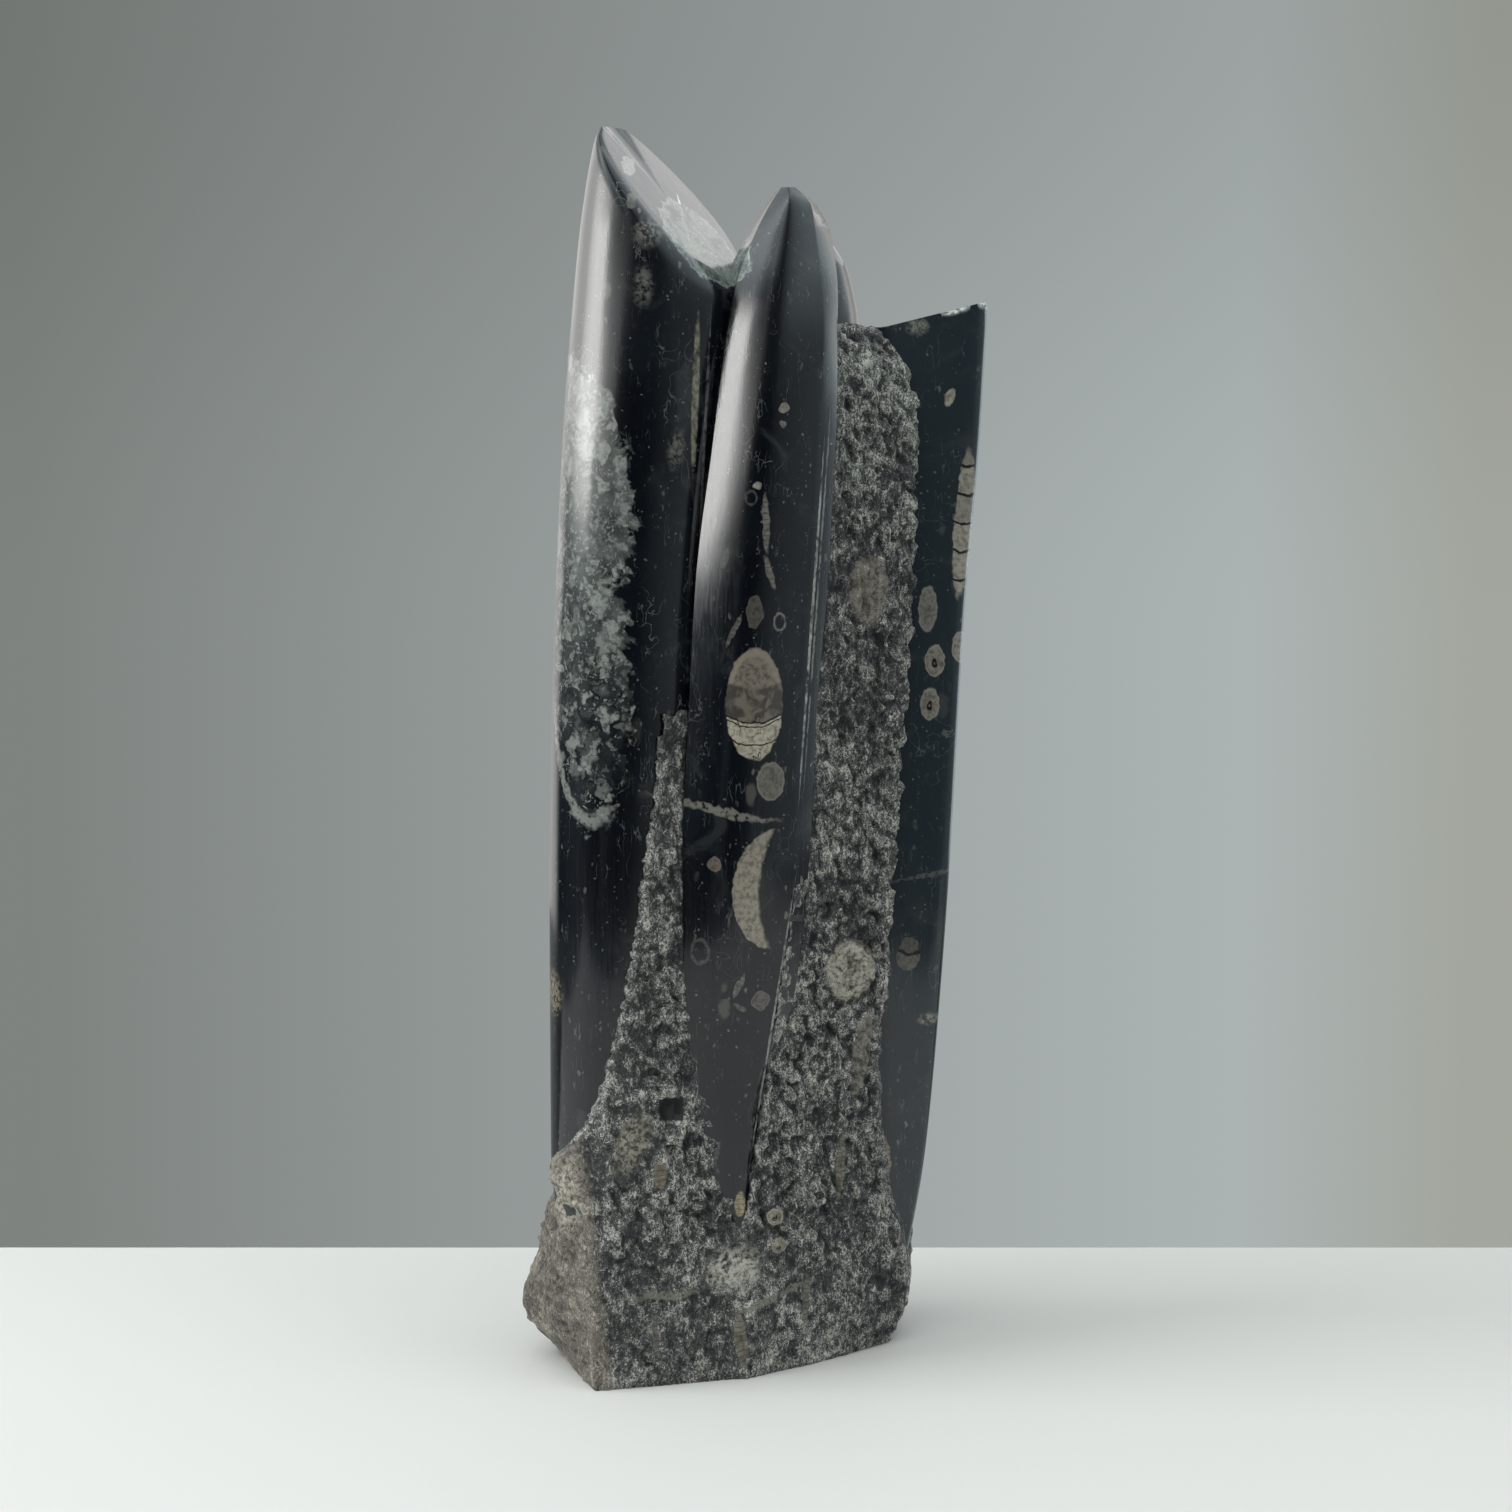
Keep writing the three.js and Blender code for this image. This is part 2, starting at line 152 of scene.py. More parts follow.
RIDGE = [
    (8, [(4, -26), (26, -12), (38, -3), (44, 2), (43, 10), (38, 20)]),
    (45, [(4, -28.5), (27, -14), (36, -7.5), (41.2, -3.5), (39, 8), (38, 20)]),
    (92, [(4, -28.5), (27, -14), (34, -9), (39, -5), (37, 8), (37, 20)]),
    (143, [(4, -28.5), (27, -14), (36, -7.5), (43.2, -2), (40, 9), (38, 20)]),
    (206, [(4, -28.5), (27, -13.6), (38, -5.5), (47.6, 1.5), (44, 11), (40, 22)]),
    (270, [(5, -27.5), (28, -12.5), (40, -4), (50.2, 3.6), (47, 13), (42, 24)]),
    (296, [(6, -26.5), (28, -11.5), (40, -3), (50.4, 4.6), (47, 14), (42, 24)]),
    (309, [(8, -24), (28, -9), (38, -1), (46.3, 6.5), (44, 14), (40, 22)]),
    (316, [(10, -20), (27, -6), (35, 1), (41, 8), (39, 15), (36, 21)]),
    (321, [(14, -13), (26, -1), (31, 4), (34, 9), (33, 14), (31, 18)]),
]
CORE = [
    (10, [(-44, -10), (30, -4), (42, 12), (34, 38), (0, 40.5), (-38, 37), (-52, 12)]),
    (110, [(-44, -10), (30, -4), (42, 12), (40, 38.5), (0, 40.3), (-44, 37.5), (-52, 12)]),
    (215, [(-42, -8), (30, -4), (42, 14), (42, 38.5), (-2, 39.6), (-44, 36.5), (-50, 12)]),
    (262, [(-38, -6), (30, -2), (42, 16), (42, 37.5), (-5, 38), (-40, 34), (-44, 12)]),
    (286, [(-32, -4), (28, 0), (40, 18), (40, 36), (0, 35.5), (-32, 31), (-36, 12)]),
    (300, [(-24, -2), (26, 2), (36, 20), (37, 32.5), (6, 31), (-24, 25), (-26, 12)]),
    (308, [(-12, 2), (20, 6), (28, 18), (29, 24), (10, 23), (-12, 18), (-14, 11)]),
]

# ---- finish of the surfaces ---------------------------------------------------------------------

POLISHED, ROUGH, BROKEN = 0, 1, 2  # material slots of the stone
FINE = 0.8  # grid of the rough matrix
KEPT = 0.64  # share of the matrix's faces that stay
LEVEL_STEP = 2.4  # height between two levels of a polished spire
CRISP = math.cos(math.radians(24))  # polished faces that turn more than this meet in a crisp edge
SEED = 11  # of noise_vector, which is otherwise seeded from the clock
FACET_TILT, FACET_RISE = 4.2, 1.1  # of the pecked facets: slope, and height from one to the next
FACET_SEAM = 0.16  # how wide the blend between two facets is
WEDGE_LEVELS = [60 + 4 * i for i in range(40)]
# height and x of the wedge's left border, and of the right border of the leaf
WEDGE_BORDER = [(62, -72), (70, -60.8), (76.5, -55.2), (83, -50.7), (93.5, -46.2), (108.5, -42), (124, -38.9),
                (143, -35.2), (164, -32.5), (188, -30.1), (207, -28.5)]
LEAF_BORDER = [(48, -3.2), (72, 0.5), (96, 4.2), (119, 7), (140, 10.6), (163, 13.2), (187, 15.7)]
# raised and sunk spots in the matrix: x, y, z, radius, rise
KNOBS = [
    (29.5, -11.6, 123.5, 8.5, 1.8),
    (34.5, -6.1, 240.6, 9, 1),
    (6.3, -26, 49.8, 3.2, 0.9),
    (7.5, -25.6, 40.5, 2.8, 0.8),
    (-25, -40, 86, 4, -1.8),
    (-9, -33.5, 33, 6, 0.8),
]
# broken places: x, y, z, half width, half depth, half height
CHIPS = [
    (73.5, 19, 330.8, 5, 6, 4.6),
    (63, 13.6, 329.6, 12, 4.2, 5),
    (44, 9.5, 325, 4, 2.2, 1.6),
    (-42.5, -13, 382, 3.2, 4, 2.2),
    (13.5, -12.5, 364, 3.4, 3.4, 2),
    (50.5, 8, 10, 3, 9, 4),
]


# ---- curves and sections ------------------------------------------------------------------------

def flatten(a, b):
    """A slope between two others, and 0 where they turn, so that a curve never overshoots."""
    return 2 * a * b / (a + b) if a * b > 0 else 0.0


def row_at(rows, z):
    """One row of a table at height z, by a smooth curve through every column."""
    last = len(rows) - 1
    i = 0
    while i < last - 1 and z > rows[i + 1][0]:
        i += 1
    low, high = rows[i], rows[i + 1]
    step = high[0] - low[0]
    t = (z - low[0]) / step
    row = []
    for column, (a, b) in enumerate(zip(low, high)):
        rise = (b - a) / step
        before = (a - rows[i - 1][column]) / (low[0] - rows[i - 1][0]) if i > 0 else rise
        after = (rows[i + 2][column] - b) / (rows[i + 2][0] - high[0]) if i + 2 <= last else rise
        enter, leave = flatten(before, rise), flatten(rise, after)
        row.append(
            a * (2 * t**3 - 3 * t**2 + 1) + b * (3 * t**2 - 2 * t**3)
            + step * (enter * (t**3 - 2 * t**2 + t) + leave * (t**3 - t**2))
        )
    return row


def round_point(row, angle, power, shear):
    z, left, right, front, back = row
    c, s = math.cos(angle), math.sin(angle)
    x = (right - left) / 2 * math.copysign(abs(c) ** (2 / power), c)
    y = (back - front) / 2 * math.copysign(abs(s) ** (2 / power), s)
    return (left + right) / 2 + x, (front + back) / 2 + y + shear * x, z


def round_section(row, power, shear, around):
    return [round_point(row, 2 * math.pi * i / around, power, shear) for i in range(around)]


def slab_section(row, corner_steps=7, front_steps=16):
    z, left, right, front, back = row
    corners = [
        (right - FRONT_EDGE, front + FRONT_EDGE, FRONT_EDGE, -90),
        (right - REAR_EDGE, back - REAR_EDGE, REAR_EDGE, 0),
        (left + REAR_EDGE, back - REAR_EDGE, REAR_EDGE, 90),
        (left + FRONT_EDGE, front + FRONT_EDGE, FRONT_EDGE, 180),
    ]
    ring = []
    for x, y, radius, start in corners:
        for i in range(corner_steps + 1):
            angle = math.radians(start + i * 90 / corner_steps)
            ring.append((x + radius * math.cos(angle), y + radius * math.sin(angle)))
    for i in range(1, front_steps):
        t = i / front_steps
        x = left + FRONT_EDGE + (right - left - 2 * FRONT_EDGE) * t
        ring.append((x, front + FRONT_HOLLOW * math.sin(math.pi * t)))
    cx = (left + right) / 2
    end = SHEAR if z > SLAB_TOP - 0.01 else 0.0
    return [(x, y + SHEAR * (x - cx), z + end * (x - cx)) for x, y in ring]


def leaf_section(row, front_steps=36, back_steps=24):
    z, left_x, left_y, right_x, right_y, crown, left_flank, right_flank, back = row
    ring = []
    for i in range(front_steps + 1):
        t = i / front_steps
        bulge = CROWN_SHARE * crown * math.sin(math.pi * t) if 0 < t < 1 else 0.0
        ring.append((left_x + (right_x - left_x) * t, left_y + (right_y - left_y) * t - bulge, z))
    flank_right, flank_left = right_x + right_flank, left_x - left_flank
    shoulder = min((left_y + right_y) / 2 + FLANK_DEPTH, back - 1)
    cx, half = (flank_right + flank_left) / 2, (flank_right - flank_left) / 2
    for i in range(back_steps + 1):
        angle = i / back_steps * math.pi
        ring.append((cx + half * math.cos(angle), shoulder + (back - shoulder) * math.sin(angle), z))
    return ring


# ---- meshes -------------------------------------------------------------------------------------

def loft(name, rings):
    """A closed mesh through rings with the same number of points."""
    count = len(rings[0])
    points = [p for ring in rings for p in ring]
    faces = []
    for first in range(0, (len(rings) - 1) * count, count):
        for i in range(count):
            a, b = first + i, first + (i + 1) % count
            faces.append((a, b, b + count, a + count))
    for start, up in ((0, False), ((len(rings) - 1) * count, True)):
        ring = points[start:start + count]
        hub = len(points)
        points.append(tuple(sum(p[k] for p in ring) / count for k in range(3)))
        for i in range(count):
            a, b = start + i, start + (i + 1) % count
            faces.append((hub, a, b) if up else (hub, b, a))
    mesh = bpy.data.meshes.new(name)
    mesh.from_pydata([tuple(c * MM for c in p) for p in points], [], faces)
    mesh.validate()
    return mesh


def levels(rows):
    """The heights of a table's rows, and even ones between."""
    low, high = rows[0][0], rows[-1][0]
    heights = {float(row[0]) for row in rows}
    count = int((high - low) / LEVEL_STEP)
    for i in range(1, count):
        z = low + (high - low) * i / count
        if min(abs(z - h) for h in heights) > 0.4 * LEVEL_STEP:
            heights.add(z)
    return sorted(heights)


def spire(name, rows, section):
    return loft(name, [section(row_at(rows, z)) for z in levels(rows)])


def rim_point(angle, drop):
    """Where the left spire's side at an angle meets the slanted top, lowered by drop."""
    low, high = LEFT_SPIRE[0][0], LEFT_SPIRE[-1][0]
    for _ in range(HALVINGS):
        x, y, z = round_point(row_at(LEFT_SPIRE, (low + high) / 2), angle, LEFT_POWER, SHEAR)
        slanted = TIP[2] - TOP_FALL[0] * (x - TIP[0]) - TOP_FALL[1] * (y - TIP[1])
        low, high = (z, high) if z < slanted - drop else (low, z)
    return Vector((x, y, z))


def left_spire(around=96, rises=130, rim_steps=7):
    """Sides up to the slanted top, whose rim is rounded, most at the front."""
    angles = [2 * math.pi * i / around for i in range(around)]
    radii = [RIM_ROUND[0] + (RIM_ROUND[1] - RIM_ROUND[0]) * max(0.0, -math.sin(angle)) for angle in angles]
    bottom = LEFT_SPIRE[0][0]
    tops = [rim_point(angle, radius).z for angle, radius in zip(angles, radii)]
    rings = []
    for i in range(rises):
        ring = []
        for angle, top in zip(angles, tops):
            row = row_at(LEFT_SPIRE, bottom + (top - bottom) * i / rises)
            ring.append(round_point(row, angle, LEFT_POWER, SHEAR))
        rings.append(ring)
    hub = sum((rim_point(angle, 0) for angle in angles), Vector()) / around
    for i in range(rim_steps + 1):
        turn = math.pi / 2 * i / rim_steps
        ring = []
        for angle, radius in zip(angles, radii):
            point = rim_point(angle, radius * (1 - math.sin(turn)))
            ring.append(tuple(point + (hub - point).normalized() * radius * (1 - math.cos(turn))))
        rings.append(ring)
    return loft("left", rings)


def block(name, table, closing=()):
    return loft(name, [[(x, y, z) for x, y in [*plan, *closing]] for z, plan in table])


def link(mesh, slot):
    """An object for a mesh whose faces all take one material slot."""
    obj = bpy.data.objects.new(mesh.name, mesh)
    scene.collection.objects.link(obj)
    for name in ("polished", "rough", "broken"):
        obj.data.materials.append(bpy.data.materials.get(name) or bpy.data.materials.new(name))
    obj.data.polygons.foreach_set("material_index", [slot] * len(mesh.polygons))
    return obj


def applied(obj):
    """Replaces an object's mesh by what its modifiers make of it."""
    graph = bpy.context.evaluated_depsgraph_get()
    mesh = bpy.data.meshes.new_from_object(obj.evaluated_get(graph), depsgraph=graph)
    obj.modifiers.clear()
    obj.data = mesh
    return obj


def joined(base, tool, operation):
    """base with tool added or cut away, after which the tool is gone."""
    modifier = base.modifiers.new("join", "BOOLEAN")
    modifier.operation = operation
    modifier.solver = "MANIFOLD"
    modifier.object = tool
    applied(base)
    bpy.data.objects.remove(tool)
    return base


def array_of(mesh, kind="vertices", field="co", width=3):
    items = getattr(mesh, kind)
    values = np.empty(len(items) * width)
    items.foreach_get(field, values)
    return values.reshape(-1, width) if width > 1 else values


# ---- the rough matrix ---------------------------------------------------------------------------

noise.seed_set(SEED)


def smoothstep(low, high, value):
    """0 below low, 1 above high, smooth between; the other way round when low is the greater."""
    t = np.clip((value - low) / (high - low), 0, 1)
    return t * t * (3 - 2 * t)


def pecked(point):
    """Height in millimetres of the hand-pecked surface at a point: small tilted facets over broad swells."""
    x, y, z = point
    slant = Vector((x * 0.27 + z * 0.08, y * 0.27, z * 0.20 - x * 0.05))
    distances, centres = noise.voronoi(slant)
    one, two = (facet(slant, centre) for centre in centres[:2])
    blend = 0.5 * max(0.0, 1 - (distances[1] - distances[0]) / FACET_SEAM)
    small = noise.voronoi(point * 0.6)[0]
    rim = 1 - min(1.0, 1.6 * (small[1] - small[0]))
    swell = noise.noise(point * 0.075) + 0.5 * noise.noise(point * 0.17)
    grain = noise.noise(point * 0.55) + 0.7 * noise.noise(point * 1.1)
    return one + (two - one) * blend + 0.4 * rim + 1.1 * swell + 0.4 * grain - 0.5


def facet(place, centre):
    tilt = noise.noise_vector(centre * 9.7)
    return FACET_TILT * tilt.dot(place - centre) + FACET_RISE * tilt.z


def natural(point):
    """Height of the weathered, unworked surface at a point: broad lumps and ledges."""
    swell = noise.noise(point * 0.06) + 0.6 * noise.noise(point * 0.15)
    ledge = abs(noise.noise(Vector((point.x * 0.12, point.y * 0.12, point.z * 0.3))))
    grain = noise.noise(point * 0.45) + 0.5 * noise.noise(point * 1.0)
    return 2.2 * swell - 2.2 * ledge + 0.9 * grain + 0.3


def nearest(mesh, co):
    """Distance in millimetres from each point to a mesh."""
    points = array_of(mesh) / MM
    tree = BVHTree.FromPolygons([tuple(p) for p in points], [tuple(f.vertices) for f in mesh.polygons])
    return np.array([tree.find_nearest(Vector(p))[3] for p in co])


def left_front(x, z):
    """Front of the left spire at x and z, far behind where the spire does not reach."""
    rows = [row_at(LEFT_SPIRE, h) for h in WEDGE_LEVELS]
    left, right, front, back = (np.interp(z, WEDGE_LEVELS, column) for column in list(zip(*rows))[1:])
    along = x - (left + right) / 2
    share = np.clip(np.abs(along) / ((right - left) / 2), 0, 1)
    depth = (back - front) / 2 * (1 - share**LEFT_POWER) ** (1 / LEFT_POWER)
    return (front + back) / 2 + SHEAR * along - depth


def wedge_border(co, normals, lip):
    """Keeps the matrix's border on the left spire one clean line: proud of it inside, sunk outside."""
    x, y, z = co.T
    inside = x - np.interp(z, *zip(*WEDGE_BORDER)) + 0.35 * np.sin(z * 0.9) + 0.25 * np.sin(z * 2.3)
    front = left_front(x, z)
    # only on the matrix's front, beside the left spire
    near = (np.abs(y - front) < 7) & (z > 62) & (z < 212) & (x < -10) & (normals[:, 1] < -0.1)
    turned = np.where(near & (inside > 0), np.minimum(y, front - lip - np.clip(0.5 * inside, 0, 0.8)), y)
    co[:, 1] = np.where(near & (inside <= 0), np.maximum(turned, front + 1.8), turned)


def leaf_border(co, normals, lip):
    """Brings the matrix up to the leaf's right flank along its border, and sinks it behind the flank."""
    x, y, z = co.T
    rows = np.array([row_at(LEAF_SPIRE, h) for h in range(40, 200, 4)])
    edge_x, edge_y, flank = (np.interp(z, rows[:, 0], rows[:, k]) for k in (3, 4, 7))
    border = np.interp(z, *zip(*LEAF_BORDER))
    along = x - border + 0.2 * np.sin(z * 0.9) + 0.15 * np.sin(z * 2.3)
    side = edge_y + (border - edge_x) * FLANK_DEPTH * 0.75 / flank
    # only on the matrix's front, within a few millimetres of the border; it eases in and out of its ends
    near = (along > -4) & (along < 9) & (normals[:, 1] < -0.1) & (x < 24) & (z > 46) & (z < 190)
    ease = 6 * (1 - smoothstep(46, 56, z) * smoothstep(190, 150, z))
    raised = np.minimum(y, side - lip + 1.5 * np.clip(along, 0, 9) + ease)
    lowered = np.maximum(y, side + 3.0 - ease)
    co[:, 1] = np.where(near & (along > 0), raised, np.where(near & (along < -0.3), lowered, co[:, 1]))


def make_matrix(leaf, slab):
    parts = [block("foot", FOOT), block("ridge", RIDGE, RIDGE_BACK), block("core", CORE)]
    objects = [link(mesh, ROUGH) for mesh in parts]
    rough = joined(joined(objects[0], objects[1], "UNION"), objects[2], "UNION")
    remesh = rough.modifiers.new("grid", "REMESH")
    remesh.mode = "VOXEL"
    remesh.voxel_size = FINE * MM
    applied(rough)
    mesh = rough.data
    co = array_of(mesh) / MM
    normals = array_of(mesh, "vertex_normals", "vector")
    wedge_border(co, normals, 0.3)
    leaf_border(co, normals, 0.4)
    x, y, z = co.T
    worn = smoothstep(-42, -54, x) * smoothstep(85, 60, z)
    by_leaf, by_slab = nearest(leaf, co), nearest(slab, co)
    height = np.array([pecked(Vector(p)) for p in co])
    for i in np.flatnonzero(worn):
        height[i] += worn[i] * (natural(Vector(co[i])) - height[i])
    calm = (1 - 0.5 * smoothstep(60, 30, z)) * (0.45 + 0.55 * smoothstep(0, 4, np.minimum(by_leaf, by_slab)))
    knobs = np.clip(np.sin(z * 0.72 + 1.3 * np.sin(z * 0.23)), 0, 1)
    wedge = smoothstep(5, 1, by_leaf) * smoothstep(2, -8, x) * smoothstep(50, 70, z) * smoothstep(-10, -25, y)
    rim = smoothstep(6, 1, by_slab) * smoothstep(20, 30, x) * smoothstep(60, 110, z)
    height = height * calm + 0.7 * wedge * knobs + rim * (0.6 + 0.7 * knobs)
    for cx, cy, cz, radius, rise in KNOBS:
        away = np.sqrt((x - cx) ** 2 + ((y - cy) * 0.6) ** 2 + (z - cz) ** 2) / radius
        height += rise * smoothstep(1.1, 0.75, away)
    height *= 1 - smoothstep(-0.5, -0.9, normals[:, 2]) * smoothstep(4, 1, z)
    shift = normals * height[:, None]
    shift[:, 2] *= smoothstep(0.2, 3.0, z)
    co += shift
    wedge_border(co, normals, 0.25)
    leaf_border(co, normals, -0.6)
    co[:, 2] = np.maximum(co[:, 2], 0)
    mesh.vertices.foreach_set("co", (co * MM).ravel())
    mesh.update()
    mesh.polygons.foreach_set("material_index", [ROUGH] * len(mesh.polygons))
    thin = rough.modifiers.new("thin", "DECIMATE")
    thin.ratio = KEPT
    return applied(rough)


def chip(x, y, z, width, depth, tall):
    """A lump of stone that has broken away, as a closed mesh to cut with."""
    shape = bmesh.new()
    bmesh.ops.create_icosphere(shape, subdivisions=4, radius=1)
    for v in shape.verts:
        p = v.co.copy()
        lump = 1 + 0.28 * noise.noise(p * 1.3 + Vector((x, y, z)))
        lump += 0.12 * noise.noise(p * 4 + Vector((z, x, y)))
        v.co = Vector((x + p.x * width * lump, y + p.y * depth * lump, z + p.z * tall * lump)) * MM
    mesh = bpy.data.meshes.new("chip")
    shape.to_mesh(mesh)
    shape.free()
    return mesh


def make_stone():
    back_leaf = spire("back_leaf", BACK_LEAF_SPIRE, leaf_section)
    co = array_of(back_leaf)
    co[:, :2] *= -1
    back_leaf.vertices.foreach_set("co", co.ravel())
    leaf = spire("leaf", LEAF_SPIRE, leaf_section)
    slab = spire("right", RIGHT_SPIRE, slab_section)
    back_right = spire("back_right", BACK_RIGHT_SPIRE, lambda row: round_section(row, BACK_POWER, 0, 56))
    spires = [
        link(left_spire(), POLISHED),
        link(leaf, POLISHED),
        link(slab, POLISHED),
        link(back_right, POLISHED),
        link(back_leaf, POLISHED),
    ]
    stone = make_matrix(leaf, slab)
    for tool in spires:
        stone = joined(stone, tool, "UNION")
    for lump in CHIPS:
        stone = joined(stone, link(chip(*lump), BROKEN), "DIFFERENCE")
    stone.name = "fossil_tower"
    mark_edges(stone.data)
    mark_convexity(stone.data)
    return stone


def mark_edges(mesh):
    """Crisp edges where polished faces meet at an angle and wherever the finish changes."""
    loop_edge = array_of(mesh, "loops", "edge_index", 1).astype(int)
    sizes = array_of(mesh, "polygons", "loop_total", 1).astype(int)
    loop_face = np.repeat(np.arange(len(sizes)), sizes)
    order = np.argsort(loop_edge, kind="stable")
    edges, faces = loop_edge[order], loop_face[order]
    pair = np.flatnonzero(edges[1:] == edges[:-1])
    edge, one, two = edges[pair], faces[pair], faces[pair + 1]
    normal = array_of(mesh, "polygons", "normal")
    finish = array_of(mesh, "polygons", "material_index", 1)
    turn = np.einsum("ij,ij->i", normal[one], normal[two])
    crisp = (finish[one] != finish[two]) | ((finish[one] != ROUGH) & (turn < CRISP))
    sharp = np.zeros(len(mesh.edges), bool)
    sharp[edge[crisp]] = True
    mesh.shade_smooth()
    mesh.attributes.new("sharp_edge", "BOOLEAN", "EDGE").data.foreach_set("value", sharp)


def mark_convexity(mesh):
    """Attribute "crushed": 0.5 on even ground, towards 1 on rims and crests, towards 0 in pits."""
    co = array_of(mesh) / MM
    ends = array_of(mesh, "edges", "vertices", 2).astype(int)
    degree = np.maximum(np.bincount(ends.ravel(), minlength=len(co)), 1)[:, None]
    normals = array_of(mesh, "vertex_normals", "vector")
    even = co
    rise = np.zeros(len(co))
    for turn in range(1, 13):
        total = np.zeros_like(co)
        for k in range(3):
            total[:, k] = np.bincount(ends[:, 0], even[ends[:, 1], k], len(co))
            total[:, k] += np.bincount(ends[:, 1], even[ends[:, 0], k], len(co))
        even = total / degree
        if turn in (2, 12):
            rise += np.einsum("ij,ij->i", co - even, normals) * (1.6 if turn == 2 else 0.55)
    attribute = mesh.attributes.new("convexity", "FLOAT", "POINT")
    attribute.data.foreach_set("value", np.clip(0.5 + rise, 0, 1))
    finish = array_of(mesh, "polygons", "material_index", 1)
    sizes = array_of(mesh, "polygons", "loop_total", 1).astype(int)
    corners = array_of(mesh, "loops", "vertex_index", 1).astype(int)
    unpolished = np.repeat(finish != POLISHED, sizes)
    border = np.bincount(corners, unpolished, len(co)) > 0
    mesh.attributes.new("border", "FLOAT", "POINT").data.foreach_set("value", border.astype(float))


stone = make_stone()
